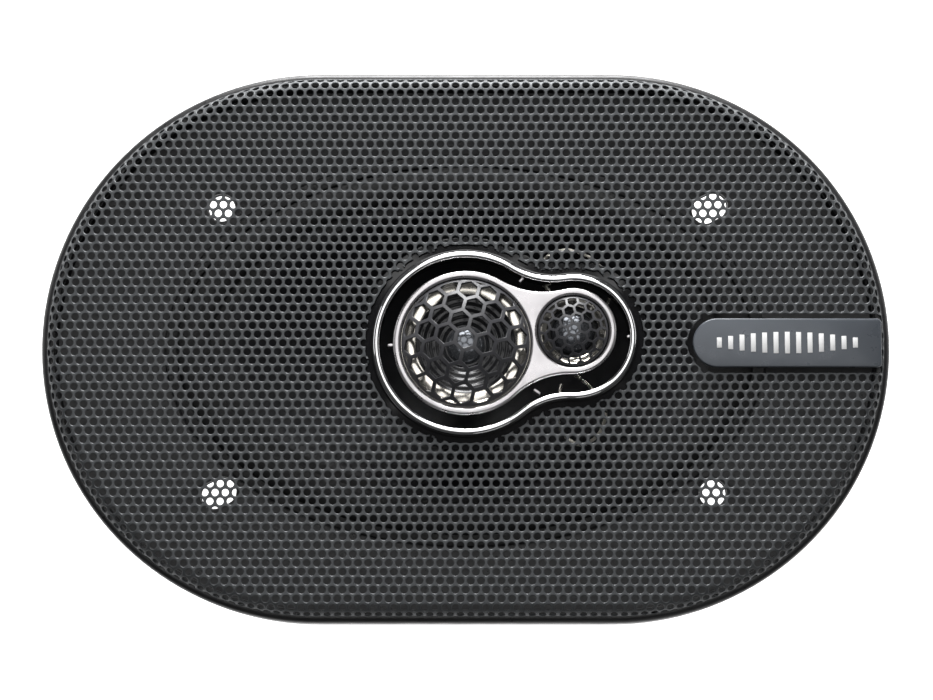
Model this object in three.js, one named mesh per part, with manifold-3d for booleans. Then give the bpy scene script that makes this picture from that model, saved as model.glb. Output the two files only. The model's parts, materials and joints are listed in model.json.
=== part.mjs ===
// A 6 x 9 inch three-way coaxial car speaker with a snap-on stadium grille.
// Millimetres, +Z is the direction the speaker faces, +X runs along the long axis of the oval.
// The origin is at the back of the magnet boot, on the woofer's axis, so the part stands on its magnet.
import * as THREE from "three";
import { mergeVertices } from "three/addons/utils/BufferGeometryUtils.js";
import Module from "manifold-3d";

const wasm = await Module();
wasm.setup();

// ---------------------------------------------------------------- driving dimensions
const GAP = 0.3; // left between pieces that fit inside each other
const GLUE_GAP = 0.05; // left between turned pieces that are glued or pressed together
const weld = 0.5; // how far two shapes of one piece run into each other
const overrun = 1; // how far a cutting shape runs past the piece it cuts

// Motor, from the back to the front
const bootFloor = 2;
const bootWall = 2;
const bootWindowRadius = 13;
const bootGrip = 18; // how far the boot reaches up the magnet's side
const backPlateThickness = 6;
const backPlateRadius = 42;
const magnetRadius = 45;
const magnetBoreRadius = 22;
const magnetThickness = 16;
const topPlateRadius = 43;
const topPlateThickness = 5;
const poleRadius = 12.2;
const poleRise = 1; // how far the pole stands above the top plate
const coilFormerRadius = 12.8;
const coilFormerWall = 0.4;
const windingThickness = 0.6;
const windingHeight = 10;
const airGap = 0.6; // winding to top plate
const formerOverhang = 3; // former below the top plate's underside
const formerRise = 1.5; // former above the cone's neck

// Basket
const steel = 1.2;
const mountingDepth = 78;
const basketFloorRadius = 40;
const basketBoreRadius = 20;
const ledgeInnerRadius = 43;
const ledgeOuterRadius = 48;
const ledgeRise = 8; // spider ledge above the basket's floor
const seatWidth = 4; // flange strip that carries the surround's lip
const funnelTopRadius = 65;
const flangeShortRadius = 82;
const flangeLongRadius = 118;
const flangeSquareness = 2.4; // superellipse exponent of the flange's outline
const windowCount = 8;
const windowHalfAngle = 12; // degrees
const windowFoot = 0.08; // the windows' lower and upper edges, as shares of the funnel from foot to top
const windowHead = 0.873;
const screwSpacingX = 172;
const screwSpacingY = 100.8;
const screwHoleRadius = 4.6;
const screwSlotLength = 12.5;
const screwSlotTurn = 28; // degrees
const rivetRadius = 2.4;
const rivetHeadRadius = 3.84;
const rivetHead = 1.4;
const rivetRingRadius = 31;
const rivetCount = 4;

// Moving assembly
const surroundThickness = 0.8;
const surroundLip = 4.2;
const surroundRollWidth = 11;
const coneThickness = 0.7;
const coneNeckRise = 7; // cone neck above the spider ledge
const spiderThickness = 0.6;
const spiderWave = 1.1;
const spiderRolls = 5;
const spiderCollar = 2;
const dustRingWidth = 5.4;
const dustRingRise = 4.5;
const dustRingLip = 0.4; // where its slope starts above the former
const dustRingSkirt = 1; // how far it reaches down inside the former

// Grille
const grilleLength = 294;
const grilleWidth = 192;
const rimHeight = 14.5;
const rimWall = 2.5;
const rimLip = 2.2;
const rimLipThickness = 1.8;
const sheetThickness = 0.8;
const sheetRoll = 5; // radius of the sheet's rolled edge
const baseFloor = 2;
const baseLipHeight = 5;
const baseLipWall = 1.6;
const gasketThickness = 2.4;
const clipWidth = 12;
const clipHeight = 4;
const clipCount = 6;
const clipEndInset = 0.4; // keeps the straight end clips inside the round rim

// Centre opening, trim ring and tweeter pod, each a figure of eight
const lobeSpacing = 37.3;
const ringLargeRadius = 32;
const ringSmallRadius = 21.7;
const ringWaist = 25;
const ringWidth = 2.2;
const ringProud = 2;
const ringAngle = 3.4; // degrees
const ringMargin = 2.6; // blank band between the ring and the sheet's edge
const collarDepth = 7;
const collarWall = 1.4;
const collarLip = 0.6; // collar outside the bead
// The bead's section, as shares of its width and height.
const beadSection = [
  [0, 0],
  [0, 0.6],
  [0.3, 1],
  [0.7, 1],
  [1, 0.5],
  [1, 0],
];
const podLargeRadius = 25.2;
const podSmallRadius = 15.1;
const podWaist = 28;
const podAngle = 6.3; // degrees
const podWall = 1.8;
const podDepth = 13;
const podRise = 17.8; // bezel's underside above the flange's top
const bezelThickness = 2.2;
const bezelOverhang = 0.9;
const midBoreRadius = 22.6;
const tweeterBoreRadius = 12.5;
const domeThickness = 0.9;
const midDomeHeight = 10.5;
const tweeterDomeHeight = 4.6;
const domeSeat = 0.7; // grille dome's edge below the bezel's face
const postRadius = 6;
const postFootRadius = 9;
const postFootHeight = 3;
const studRadius = 3;
const nutRadius = 5.2;
const nutHeight = 3.2;
const ribLength = 2.4;
const ribWidth = 1.4;
const ribHeight = 4;
const ribDrop = 1; // rib's top below the bezel
const ribPlace = 0.62; // how far along to the small lobe, as a share
const unitDrop = 0.6; // front of the midrange and tweeter frames below the bezel
const reflectorWall = 0.6;
const capWall = 0.4;

// Midrange unit
const midReflectorSlope = 5.1;
const midMagnetRadius = 15;
const midMagnetThickness = 3;
const midFrameRadius = 21.8;
const midConeEdge = 18.8;
const midNeckRadius = 5.5;
const midTravel = 0.5;
const midFrameWall = 1.8; // depth of the frame's rim, which also clears the cone at full travel
const midFrameFloor = 1;
const midEdgeGap = 0.4;
const midConeWall = 0.4;
const midConeRise = 2.2; // cone neck above the magnet
const midConeDrop = 0.8; // cone edge below the frame's front
const midNeckGap = 2; // neck to the frame's floor
const midCapOverlap = 1.2;
const midCapHeight = 2.4;
const midCoilWall = 0.45;

// Tweeter unit
const tweeterMagnetRadius = 8.5;
const tweeterMagnetThickness = 4;
const tweeterFrameRadius = 11.9;
const tweeterDomeRadius = 7.6;
const tweeterDomeRise = 3;
const tweeterDomeDrop = 2.4; // dome's edge below the frame's front
const tweeterFrameFloor = 1.4;
const tweeterFrameLip = 1.5; // frame's floor inside the dome's edge
const tweeterEdgeGap = 1;
const tweeterFlare = 2;
const tweeterCoilInset = 0.8;
const tweeterCoilWall = 0.5;
const tweeterCoilRise = 2; // coil's foot above the magnet
const tweeterReflectorSlope = 3.3;
const tweeterGrilleShare = 0.7; // of the midrange grille's thickness

// Badge plate on the sheet
const badgeLength = 65;
const badgeWidth = 17;
const badgeThickness = 1.4;
const badgeEndInset = 3.8; // square end, from the grille's outer end
const badgeCorner = 1.6;

// Terminals and wiring
const boardLength = 34;
const boardDepth = 23;
const boardThickness = 1.6;
const boardInset = 47; // board's inner edge from the axis
const tabInset = 3; // basket's tab inside the board's edge
const bladeLength = 12;
const bladeSeat = 6; // how much of a blade lies under the board
const bladeRivetRadius = 1.6;
const bladeRivetHead = 0.9;
const bladeThickness = 0.8;
const positiveBladeWidth = 6.3;
const negativeBladeWidth = 4.8;
const bladeSpacing = 18;
const midCapRadius = 4;
const midCapLength = 18;
const tweeterCapRadius = 3;
const tweeterCapLength = 14;
const capacitorStandOff = 10.4; // first capacitor's axis from the board's inner edge
const leadRadius = 0.7;
const leadCrossing = 0.3; // where the flexible leads pass the funnel, as a share of its height

// ---------------------------------------------------------------- levels that follow
const backPlateZ = bootFloor;
const magnetZ = backPlateZ + backPlateThickness;
const topPlateZ = magnetZ + magnetThickness;
const basketZ = topPlateZ + topPlateThickness;
const ledgeZ = basketZ + ledgeRise;
const flangeZ = mountingDepth;
const flangeTopZ = flangeZ + steel;
const surroundTopZ = flangeTopZ + surroundThickness;
const baseTopZ = flangeTopZ + baseFloor;
const rimTopZ = flangeZ + rimHeight;
const sheetTopZ = rimTopZ + sheetRoll;
const bezelZ = flangeTopZ + podRise;
const bezelTopZ = bezelZ + bezelThickness;
const podFloorZ = bezelZ - podDepth;
const podInsideZ = podFloorZ + podWall;
const unitTopZ = bezelZ - unitDrop;
const grilleSeatZ = bezelTopZ - domeSeat;
const reflectorTopZ = grilleSeatZ - domeThickness;
const windingInner = coilFormerRadius + coilFormerWall + GLUE_GAP;
const windingOuter = windingInner + windingThickness;
const formerZ = topPlateZ - formerOverhang;
const coneNeckZ = ledgeZ + steel + coneNeckRise;
const coneNeckRadius = windingInner;
const surroundOuter = funnelTopRadius + seatWidth;
const rollOuter = surroundOuter - surroundLip;
const rollInner = rollOuter - surroundRollWidth;
const coneEdgeRadius = rollInner;
const ovalStretch = flangeLongRadius - flangeShortRadius; // long radius less short radius at the flange
const badgeEndX = grilleLength / 2 - badgeEndInset;

// ---------------------------------------------------------------- materials
const finish = (color, roughness, metalness) =>
  new THREE.MeshStandardMaterial({ color, roughness, metalness });
const paintedSheet = finish(0x3a3d40, 0.45, 0.4);
const blackPlastic = finish(0x191a1c, 0.5, 0);
const glossBlack = finish(0x08080a, 0.15, 0);
const chrome = finish(0xe8e8e8, 0.08, 1);
const satinSilver = finish(0xb9b6b8, 0.3, 0.9);
const blackSteel = finish(0x151617, 0.4, 0.6);
const zincSteel = finish(0xb4b3ad, 0.35, 1);
const ferrite = finish(0x2b2b2d, 0.75, 0.1);
const rubber = finish(0x101011, 0.8, 0);
const conePaper = finish(0x1d1e20, 0.7, 0);
const spiderCloth = finish(0xc9a04e, 0.9, 0);
const foam = finish(0x1b1b1b, 0.95, 0);
const formerFoil = finish(0x8d6a3a, 0.4, 0.3);
const copper = finish(0xb8673a, 0.3, 1);
const phenolic = finish(0x6b3d22, 0.7, 0);
const capacitorSleeve = finish(0x1f3f86, 0.4, 0);
const tinsel = finish(0xc9c2b0, 0.35, 0.8);
const slatePlate = finish(0x4a4d55, 0.4, 0.1);
const silkFilm = finish(0x8f9297, 0.25, 0.6);

// ---------------------------------------------------------------- shape helpers
const degrees = (angle) => (angle * Math.PI) / 180;
const speaker = new THREE.Group();
const pod = new THREE.Group();
pod.rotation.z = degrees(podAngle);
speaker.add(pod);

function add(name, geometry, material, parent = speaker) {
  const mesh = new THREE.Mesh(geometry, material);
  mesh.name = name;
  parent.add(mesh);
  return mesh;
}

// A closed geometry as a manifold-3d solid, and the solid as a geometry again.
function solid(geometry) {
  const bare = geometry.clone();
  bare.deleteAttribute("normal");
  bare.deleteAttribute("uv");
  const merged = mergeVertices(bare, 1e-4);
  return new wasm.Manifold(
    new wasm.Mesh({
      numProp: 3,
      vertProperties: merged.attributes.position.array,
      triVerts: new Uint32Array(merged.index.array),
    }),
  );
}

function geometryOf(manifold) {
  const mesh = manifold.getMesh();
  return new THREE.BufferGeometry()
    .setAttribute("position", new THREE.BufferAttribute(mesh.vertProperties, 3))
    .setIndex(new THREE.BufferAttribute(mesh.triVerts, 1));
}

const join = (...geometries) =>
  geometryOf(geometries.map(solid).reduce((a, b) => a.add(b)));
const cut = (geometry, ...tools) =>
  geometryOf(tools.map(solid).reduce((a, b) => a.subtract(b), solid(geometry)));

function signedArea(profile) {
  return profile.reduce((sum, [r, z], i) => {
    const [nextR, nextZ] = profile[(i + 1) % profile.length];
    return sum + r * nextZ - nextR * z;
  }, 0);
}

// A round piece about Z from a closed profile of [radius, z] points.
function turned(profile, segments = 32, x = 0, y = 0) {
  const points = signedArea(profile) > 0 ? profile : [...profile].reverse();
  const closed = [...points, points[0]].map(([r, z]) => new THREE.Vector2(r, z));
  return new THREE.LatheGeometry(closed, segments).rotateX(Math.PI / 2).translate(x, y, 0);
}

// A ring between two radii and two levels; an inner radius of 0 makes a disc.
function ring(inner, outer, bottom, top, segments, x, y) {
  const profile = [
    [inner, bottom],
    [outer, bottom],
    [outer, top],
    [inner, top],
  ];
  return turned(profile, segments, x, y);
}

// A closed band that follows outlines: outline(size) gives the points of the loop at each profile size,
// and the profile is a closed list of [size, z].
function band(outline, profile) {
  const loops = profile.map(([size, z]) => outline(size).map(([x, y]) => [x, y, z]));
  const count = loops[0].length;
  const index = [];
  loops.forEach((_, i) => {
    const next = (i + 1) % loops.length;
    for (let j = 0; j < count; j++) {
      const k = (j + 1) % count;
      const [a, b, c, d] = [i * count + j, i * count + k, next * count + k, next * count + j];
      index.push(a, b, c, a, c, d);
    }
  });
  const geometry = new THREE.BufferGeometry().setAttribute(
    "position",
    new THREE.Float32BufferAttribute(loops.flat(2), 3),
  );
  geometry.setIndex(index);
  if (solid(geometry).volume() > 0) return geometry;
  geometry.setIndex(index.reverse());
  return geometry;
}

const rectangle = (sizeA, sizeB, bottom, top) => [
  [sizeA, bottom],
  [sizeB, bottom],
  [sizeB, top],
  [sizeA, top],
];

// A stadium of the grille's proportions, inset from its outer edge.
const stadiumArcSteps = 16;
function stadium(inset) {
  const radius = grilleWidth / 2 - inset;
  const centreX = (grilleLength - grilleWidth) / 2;
  return [1, -1].flatMap((side) =>
    Array.from({ length: stadiumArcSteps + 1 }, (_, i) => {
      const angle = (i / stadiumArcSteps - 0.5) * Math.PI;
      return [side * (centreX + radius * Math.cos(angle)), side * radius * Math.sin(angle)];
    }),
  );
}

// An oval through (long, 0) and (0, short); an exponent over 2 squares its shoulders.
function oval(long, short, exponent, steps) {
  return Array.from({ length: steps }, (_, i) => {
    const angle = (i / steps) * 2 * Math.PI;
    const bulge = (v) => Math.sign(v) * Math.abs(v) ** (2 / exponent);
    return [long * bulge(Math.cos(angle)), short * bulge(Math.sin(angle))];
  });
}

// The basket's outline: round at the motor, oval at the flange, named by its short radius.
const ovalSteps = 40;
function basketOutline(shortRadius) {
  const span = (shortRadius - ledgeInnerRadius) / (funnelTopRadius - ledgeInnerRadius);
  const share = THREE.MathUtils.clamp(span, 0, 1);
  const rim = (shortRadius - surroundOuter) / (flangeShortRadius - surroundOuter);
  const squareness = 2 + (flangeSquareness - 2) * THREE.MathUtils.clamp(rim, 0, 1);
  return oval(shortRadius + ovalStretch * share, shortRadius, squareness, ovalSteps);
}

// The cone's outline: round at the neck, oval at the edge.
function coneOutline(shortRadius) {
  const span = (shortRadius - coneNeckRadius) / (coneEdgeRadius - coneNeckRadius);
  const share = THREE.MathUtils.clamp(span, 0, 1);
  return oval(shortRadius + ovalStretch * share, shortRadius, 2, ovalSteps);
}

// A figure of eight: two arcs joined by a waist arc on each side that touches both.
const eightSteps = { large: 22, small: 14, waist: 5 };
function eight(largeRadius, smallRadius, waistRadius, turn = 0) {
  return (inset) => {
    const large = largeRadius - inset;
    const small = smallRadius - inset;
    const waist = waistRadius + inset;
    const toLarge = large + waist;
    const toSmall = small + waist;
    const waistX = (toLarge ** 2 - toSmall ** 2 + lobeSpacing ** 2) / (2 * lobeSpacing);
    const waistY = Math.sqrt(toLarge ** 2 - waistX ** 2);
    const largeAngle = Math.atan2(waistY, waistX);
    const smallAngle = Math.atan2(waistY, waistX - lobeSpacing);
    const arc = (x, y, radius, from, to, steps) =>
      Array.from({ length: steps }, (_, i) => {
        const angle = from + ((to - from) * i) / steps;
        return [x + radius * Math.cos(angle), y + radius * Math.sin(angle)];
      });
    const full = 2 * Math.PI;
    const points = [
      ...arc(lobeSpacing, 0, small, -smallAngle, smallAngle, eightSteps.small),
      ...arc(waistX, waistY, waist, smallAngle - Math.PI, largeAngle - Math.PI, eightSteps.waist),
      ...arc(0, 0, large, largeAngle, full - largeAngle, eightSteps.large),
      ...arc(waistX, -waistY, waist, Math.PI - largeAngle, Math.PI - smallAngle, eightSteps.waist),
    ];
    const [c, s] = [Math.cos(degrees(turn)), Math.sin(degrees(turn))];
    return points.map(([x, y]) => [x * c - y * s, x * s + y * c]);
  };
}

// A prism between two levels from a loop of points.
function prism(points, bottom, top, holes = []) {
  const shape = new THREE.Shape(points.map(([x, y]) => new THREE.Vector2(x, y)));
  shape.holes = holes.map((hole) => new THREE.Path(hole.map(([x, y]) => new THREE.Vector2(x, y))));
  const options = { depth: top - bottom, bevelEnabled: false, steps: 1 };
  return new THREE.ExtrudeGeometry(shape, options).translate(0, 0, bottom);
}

const box = (x, y, z, centreX, centreY, centreZ) =>
  new THREE.BoxGeometry(x, y, z).translate(centreX, centreY, centreZ);

// A round bar along X.
const bar = (radius, length, x, y, z, segments = 20) =>
  new THREE.CylinderGeometry(radius, radius, length, segments)
    .rotateZ(Math.PI / 2)
    .translate(x, y, z);

// A wire of the given radius through points.
function wire(points, radius, steps) {
  const section = new THREE.Shape().absarc(0, 0, radius, 0, 2 * Math.PI);
  const path = new THREE.CatmullRomCurve3(points.map((p) => new THREE.Vector3(...p)));
  const options = { steps, extrudePath: path, bevelEnabled: false, curveSegments: 4 };
  return new THREE.ExtrudeGeometry(section, options);
}

// A domed shell of constant thickness on a round edge, from the edge's level up.
function domeShell(edgeRadius, height, thickness, edgeZ, x, segments, steps) {
  const sphere = (edgeRadius ** 2 + height ** 2) / (2 * height);
  const reach = Math.asin(Math.min(1, edgeRadius / sphere));
  const arc = (radius) =>
    Array.from({ length: steps + 1 }, (_, i) => {
      const angle = (reach * i) / steps;
      return [radius * Math.sin(angle), edgeZ + height - sphere + radius * Math.cos(angle)];
    });
  const outer = arc(sphere);
  const inner = arc(sphere - thickness);
  return turned([...outer, ...inner.reverse()], segments, x, 0);
}

// ---------------------------------------------------------------- motor
function addMotor() {
  const counterbore = nutHeight + GAP;
  const backPlate = turned([
    [studRadius + GAP, backPlateZ + counterbore],
    [nutRadius + 1, backPlateZ + counterbore],
    [nutRadius + 1, backPlateZ],
    [backPlateRadius, backPlateZ],
    [backPlateRadius, magnetZ],
    [poleRadius, magnetZ],
    [poleRadius, basketZ + poleRise],
    [studRadius + GAP, basketZ + poleRise],
  ]);
  add("back_plate_and_pole", backPlate, zincSteel);
  add("magnet", ring(magnetBoreRadius, magnetRadius, magnetZ, topPlateZ), ferrite);
  const gapRadius = windingOuter + airGap;
  add("top_plate", ring(gapRadius, topPlateRadius, topPlateZ, basketZ), zincSteel);
  const bootInner = magnetRadius + GAP;
  const boot = turned([
    [bootWindowRadius, 0],
    [bootInner + bootWall, 0],
    [bootInner + bootWall, magnetZ + bootGrip - bootWall],
    [bootInner, magnetZ + bootGrip - bootWall],
    [bootInner, bootFloor],
    [bootWindowRadius, bootFloor],
  ]);
  add("magnet_boot", boot, rubber);
  const flats = 6;
  const nut = cut(
    ring(0, nutRadius, backPlateZ + GAP, backPlateZ + nutHeight, flats),
    ring(0, studRadius + GAP, 0, magnetZ, 16),
  );
  add("post_nut", nut, zincSteel);
}

// ---------------------------------------------------------------- basket
function screwHole(signX, signY, radius, bottom, top) {
  const arcSteps = 8;
  const slotted = signX * signY > 0;
  const half = slotted ? screwSlotLength / 2 - radius : 0;
  const points = [1, -1].flatMap((side) =>
    Array.from({ length: arcSteps + 1 }, (_, i) => {
      const angle = (i / arcSteps - 0.5) * Math.PI;
      return [side * (half + radius * Math.cos(angle)), side * radius * Math.sin(angle)];
    }),
  );
  return prism(points, bottom, top)
    .rotateZ(slotted ? degrees(screwSlotTurn) : 0)
    .translate((signX * screwSpacingX) / 2, (signY * screwSpacingY) / 2, 0);
}

const corners = [
  [1, 1],
  [-1, 1],
  [-1, -1],
  [1, -1],
];
const screwHoles = (radius, bottom, top) =>
  corners.map(([x, y]) => screwHole(x, y, radius, bottom, top));

function basketWindow(centreAngle) {
  const steps = 6;
  const edge = (share, from, to) =>
    Array.from({ length: steps + 1 }, (_, i) => {
      const angle = degrees(from + ((to - from) * i) / steps);
      const radius = THREE.MathUtils.lerp(ledgeOuterRadius + steel, funnelTopRadius, share);
      const span = (radius - ledgeInnerRadius) / (funnelTopRadius - ledgeInnerRadius);
      return [(radius + ovalStretch * span) * Math.cos(angle), radius * Math.sin(angle)];
    });
  const [low, high] = [centreAngle - windowHalfAngle, centreAngle + windowHalfAngle];
  const points = [...edge(windowHead, low, high), ...edge(windowFoot, high, low)];
  return prism(points, basketZ, flangeZ);
}

function addBasket() {
  const floorTop = basketZ + steel;
  const ledgeTop = ledgeZ + steel;
  const shell = band(basketOutline, [
    [basketBoreRadius, basketZ],
    [basketFloorRadius, basketZ],
    [ledgeInnerRadius, ledgeZ],
    [ledgeOuterRadius + steel, ledgeZ],
    [funnelTopRadius + steel, flangeZ],
    [flangeShortRadius, flangeZ],
    [flangeShortRadius, flangeTopZ],
    [funnelTopRadius, flangeTopZ],
    [ledgeOuterRadius, ledgeTop],
    [ledgeInnerRadius - steel, ledgeTop],
    [basketFloorRadius - steel, floorTop],
    [basketBoreRadius, floorTop],
  ]);
  const windows = Array.from({ length: windowCount }, (_, i) =>
    basketWindow(((i + 0.5) * 360) / windowCount),
  );
  const rivetHoles = rivetPlaces().map(([x, y]) =>
    ring(0, rivetRadius + GLUE_GAP, basketZ - overrun, floorTop + overrun, 12, x, y),
  );
  const tabDepth = boardDepth - tabInset;
  const tabY = -boardInset - tabDepth / 2;
  const tab = box(boardLength - 2 * tabInset, tabDepth, steel, 0, tabY, ledgeZ + steel / 2);
  const body = join(shell, tab);
  const holes = screwHoles(screwHoleRadius, flangeZ - overrun, flangeTopZ + overrun);
  add("basket", cut(body, ...windows, ...holes, ...rivetHoles), blackSteel);
}

function rivetPlaces() {
  return Array.from({ length: rivetCount }, (_, i) => {
    const angle = ((i + 0.5) / rivetCount) * 2 * Math.PI;
    return [rivetRingRadius * Math.cos(angle), rivetRingRadius * Math.sin(angle)];
  });
}

function addBasketRivets() {
  const floorTop = basketZ + steel;
  rivetPlaces().forEach(([x, y], i) => {
    const profile = [
      [0, basketZ],
      [rivetRadius, basketZ],
      [rivetRadius, floorTop],
      [rivetHeadRadius, floorTop],
      [rivetRadius, floorTop + rivetHead],
      [0, floorTop + rivetHead],
    ];
    add(`basket_rivet_${i + 1}`, turned(profile, 12, x, y), zincSteel);
  });
}

// ---------------------------------------------------------------- cone, surround, spider and coil
function addMovingAssembly() {
  const rollCentre = (rollInner + rollOuter) / 2;
  const rollRadius = surroundRollWidth / 2;
  const rollSteps = 5;
  const arc = (radius, from, to) =>
    Array.from({ length: rollSteps + 1 }, (_, i) => {
      const angle = from + ((to - from) * i) / rollSteps;
      return [rollCentre + radius * Math.cos(angle), flangeTopZ + radius * Math.sin(angle)];
    });
  const outerArc = arc(rollRadius, 0, Math.PI);
  const innerArc = arc(rollRadius - surroundThickness, Math.PI, 0);
  const surround = band(
    (radius) => oval(radius + ovalStretch, radius, 2, ovalSteps),
    [
      [surroundOuter, flangeTopZ],
      [surroundOuter, surroundTopZ],
      [rollOuter, surroundTopZ],
      ...outerArc.slice(1, -1),
      [rollInner, surroundTopZ],
      [rollInner - surroundLip, surroundTopZ],
      [rollInner - surroundLip, flangeTopZ],
      ...innerArc,
    ],
  );
  add("surround", surround, rubber);

  const coneLipZ = flangeTopZ - coneThickness;
  const cone = band(coneOutline, [
    [coneNeckRadius, coneNeckZ],
    [coneNeckRadius + coneThickness, coneNeckZ],
    [rollInner - surroundLip, coneLipZ],
    [coneEdgeRadius, coneLipZ],
    [coneEdgeRadius, flangeTopZ],
    [rollInner - surroundLip - coneThickness, flangeTopZ],
    [coneNeckRadius, coneNeckZ + coneThickness],
  ]);
  add("cone", cone, conePaper);

  const formerTop = coneNeckZ + formerRise;
  const former = ring(coilFormerRadius, coilFormerRadius + coilFormerWall, formerZ, formerTop);
  add("coil_former", former, formerFoil);
  const windingZ = topPlateZ + topPlateThickness / 2 - windingHeight / 2;
  add("coil_winding", ring(windingInner, windingOuter, windingZ, windingZ + windingHeight), copper);

  const dustOuter = coilFormerRadius - GLUE_GAP;
  const dustInner = dustOuter - dustRingWidth;
  const dustFoot = formerTop - dustRingSkirt;
  const dustRing = turned([
    [dustOuter, dustFoot],
    [dustOuter, formerTop + dustRingLip],
    [(dustInner + dustOuter) / 2, formerTop + dustRingRise],
    [dustInner, formerTop + dustRingRise],
    [dustInner, formerTop + dustRingRise - coneThickness],
    [(dustInner + dustOuter) / 2 - coneThickness, formerTop + dustRingRise - coneThickness],
    [dustOuter - coneThickness, formerTop],
    [dustOuter - coneThickness, dustFoot],
  ]);
  add("dust_ring", dustRing, foam);

  const spiderZ = ledgeZ + steel + GLUE_GAP;
  const spiderInner = windingInner + 2 * GLUE_GAP;
  const waveInner = spiderInner + spiderCollar;
  const waveOuter = ledgeInnerRadius - steel - GAP;
  const wave = Array.from({ length: spiderRolls * 2 + 1 }, (_, i) => {
    const share = i / (spiderRolls * 2);
    const crest = i % 2 ? spiderWave : -spiderWave;
    const flat = share === 0 || share === 1;
    return [waveInner + (waveOuter - waveInner) * share, spiderZ + (flat ? 0 : crest)];
  });
  const line = [[spiderInner, spiderZ], ...wave, [ledgeOuterRadius - GAP, spiderZ]];
  const above = line.map(([r, z]) => [r, z + spiderThickness]).reverse();
  add("spider", turned([...line, ...above], 32), spiderCloth);
}

// ---------------------------------------------------------------- flange gasket and grille base
function addBaseRing() {
  const gasket = band(
    (radius) => oval(radius + ovalStretch, radius, 2, ovalSteps),
    rectangle(rollOuter + GAP, surroundOuter, surroundTopZ, surroundTopZ + gasketThickness),
  );
  add("flange_gasket", gasket, foam);

  // The base's floor lies on the flange, and its rim comes down beside the flange to the mounting surface.
  const outerInset = rimWall + GAP;
  const openingRadius = surroundOuter + GAP;
  const pocket = oval(flangeLongRadius + GAP, flangeShortRadius + GAP, flangeSquareness, ovalSteps);
  const opening = oval(openingRadius + ovalStretch, openingRadius, 2, ovalSteps);
  const lower = prism(stadium(outerInset), flangeZ, flangeTopZ, [pocket]);
  const floor = prism(stadium(outerInset), flangeTopZ, baseTopZ, [opening]);
  const lipInset = outerInset + baseLipWall;
  const lip = band(stadium, rectangle(outerInset, lipInset, baseTopZ - weld, baseTopZ + baseLipHeight));
  const clips = clipPlaces().map(([x, y, turn]) =>
    box(clipWidth, baseLipWall, clipHeight + weld, 0, 0, 0)
      .rotateZ(turn)
      .translate(x, y, baseTopZ + baseLipHeight + (clipHeight - weld) / 2),
  );
  const base = join(lower, floor, lip, ...clips);
  const holes = screwHoles(screwHoleRadius + GAP, flangeZ - overrun, baseTopZ + overrun);
  add("grille_base", cut(base, ...holes), blackPlastic);
}

// Spring clips stand on the straight sides and at the two ends, inside the rim.
function clipPlaces() {
  const inset = rimWall + GAP + baseLipWall / 2 + GAP / 2;
  const sideY = grilleWidth / 2 - inset;
  const perSide = (clipCount - 2) / 2;
  const span = grilleLength - grilleWidth - clipWidth * 2;
  const sides = [1, -1].flatMap((side) =>
    Array.from({ length: perSide }, (_, i) => [(i / (perSide - 1) - 0.5) * span, side * sideY, 0]),
  );
  const endX = grilleLength / 2 - inset - clipEndInset;
  return [...sides, [endX, 0, Math.PI / 2], [-endX, 0, Math.PI / 2]];
}

// ---------------------------------------------------------------- grille
function addGrille() {
  const rim = band(stadium, [
    [0, flangeZ],
    [0, rimTopZ],
    [rimLip + rimWall, rimTopZ],
    [rimLip + rimWall, rimTopZ - rimLipThickness],
    [rimWall, rimTopZ - rimLipThickness],
    [rimWall, flangeZ],
  ]);
  add("grille_rim", rim, blackPlastic);

  const ringLoop = eight(ringLargeRadius, ringSmallRadius, ringWaist, ringAngle);
  // The sheet is one pressing. Its flat face and its rolled edge are two solids, because the hulls of
  // a single one would fill the air behind it.
  const rollSteps = 4;
  const rollInset = rimLip + sheetRoll;
  const roll = (radius) =>
    Array.from({ length: rollSteps + 1 }, (_, i) => {
      const angle = (i / rollSteps) * (Math.PI / 2);
      const z = sheetTopZ - sheetRoll + radius * Math.cos(angle);
      return [rollInset - radius * Math.sin(angle), Math.max(z, rimTopZ + GAP)];
    });
  const edge = band(stadium, [...roll(sheetRoll), ...roll(sheetRoll - sheetThickness).reverse()]);
  add("grille_sheet_edge", edge, paintedSheet);
  const face = prism(stadium(rollInset + GLUE_GAP), sheetTopZ - sheetThickness, sheetTopZ);
  const hole = prism(ringLoop(-ringMargin), rimTopZ, sheetTopZ + overrun);
  add("grille_sheet", cut(face, hole), paintedSheet);

  const seatTop = sheetTopZ - sheetThickness - GLUE_GAP;
  const seat = band(ringLoop, [
    [-ringMargin * 2, seatTop - collarWall],
    [-ringMargin * 2, seatTop],
    [-collarLip, seatTop],
    [-collarLip, sheetTopZ],
    [ringWidth, sheetTopZ],
    [ringWidth, sheetTopZ - collarDepth],
    [ringWidth - collarWall, sheetTopZ - collarDepth],
    [ringWidth - collarWall, seatTop - collarWall],
  ]);
  add("trim_ring_seat", seat, glossBlack);
  const beadLine = beadSection.map(([across, up]) => [ringWidth * across, sheetTopZ + ringProud * up]);
  const bead = band(ringLoop, beadLine);
  add("trim_ring", bead, chrome);

  add("badge_plate", prism(badgeOutline(), sheetTopZ, sheetTopZ + badgeThickness), slatePlate);
}

// Round at the end near the centre, square with small corners at the rim.
function badgeOutline() {
  const [cornerSteps, endSteps] = [3, 12];
  const half = badgeWidth / 2;
  const startX = badgeEndX - badgeLength + half;
  const arc = (x, y, radius, from, to, steps) =>
    Array.from({ length: steps + 1 }, (_, i) => {
      const angle = degrees(from + ((to - from) * i) / steps);
      return [x + radius * Math.cos(angle), y + radius * Math.sin(angle)];
    });
  const inner = badgeEndX - badgeCorner;
  return [
    ...arc(inner, -half + badgeCorner, badgeCorner, -90, 0, cornerSteps),
    ...arc(inner, half - badgeCorner, badgeCorner, 0, 90, cornerSteps),
    ...arc(startX, 0, half, 90, 270, endSteps),
  ];
}

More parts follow.
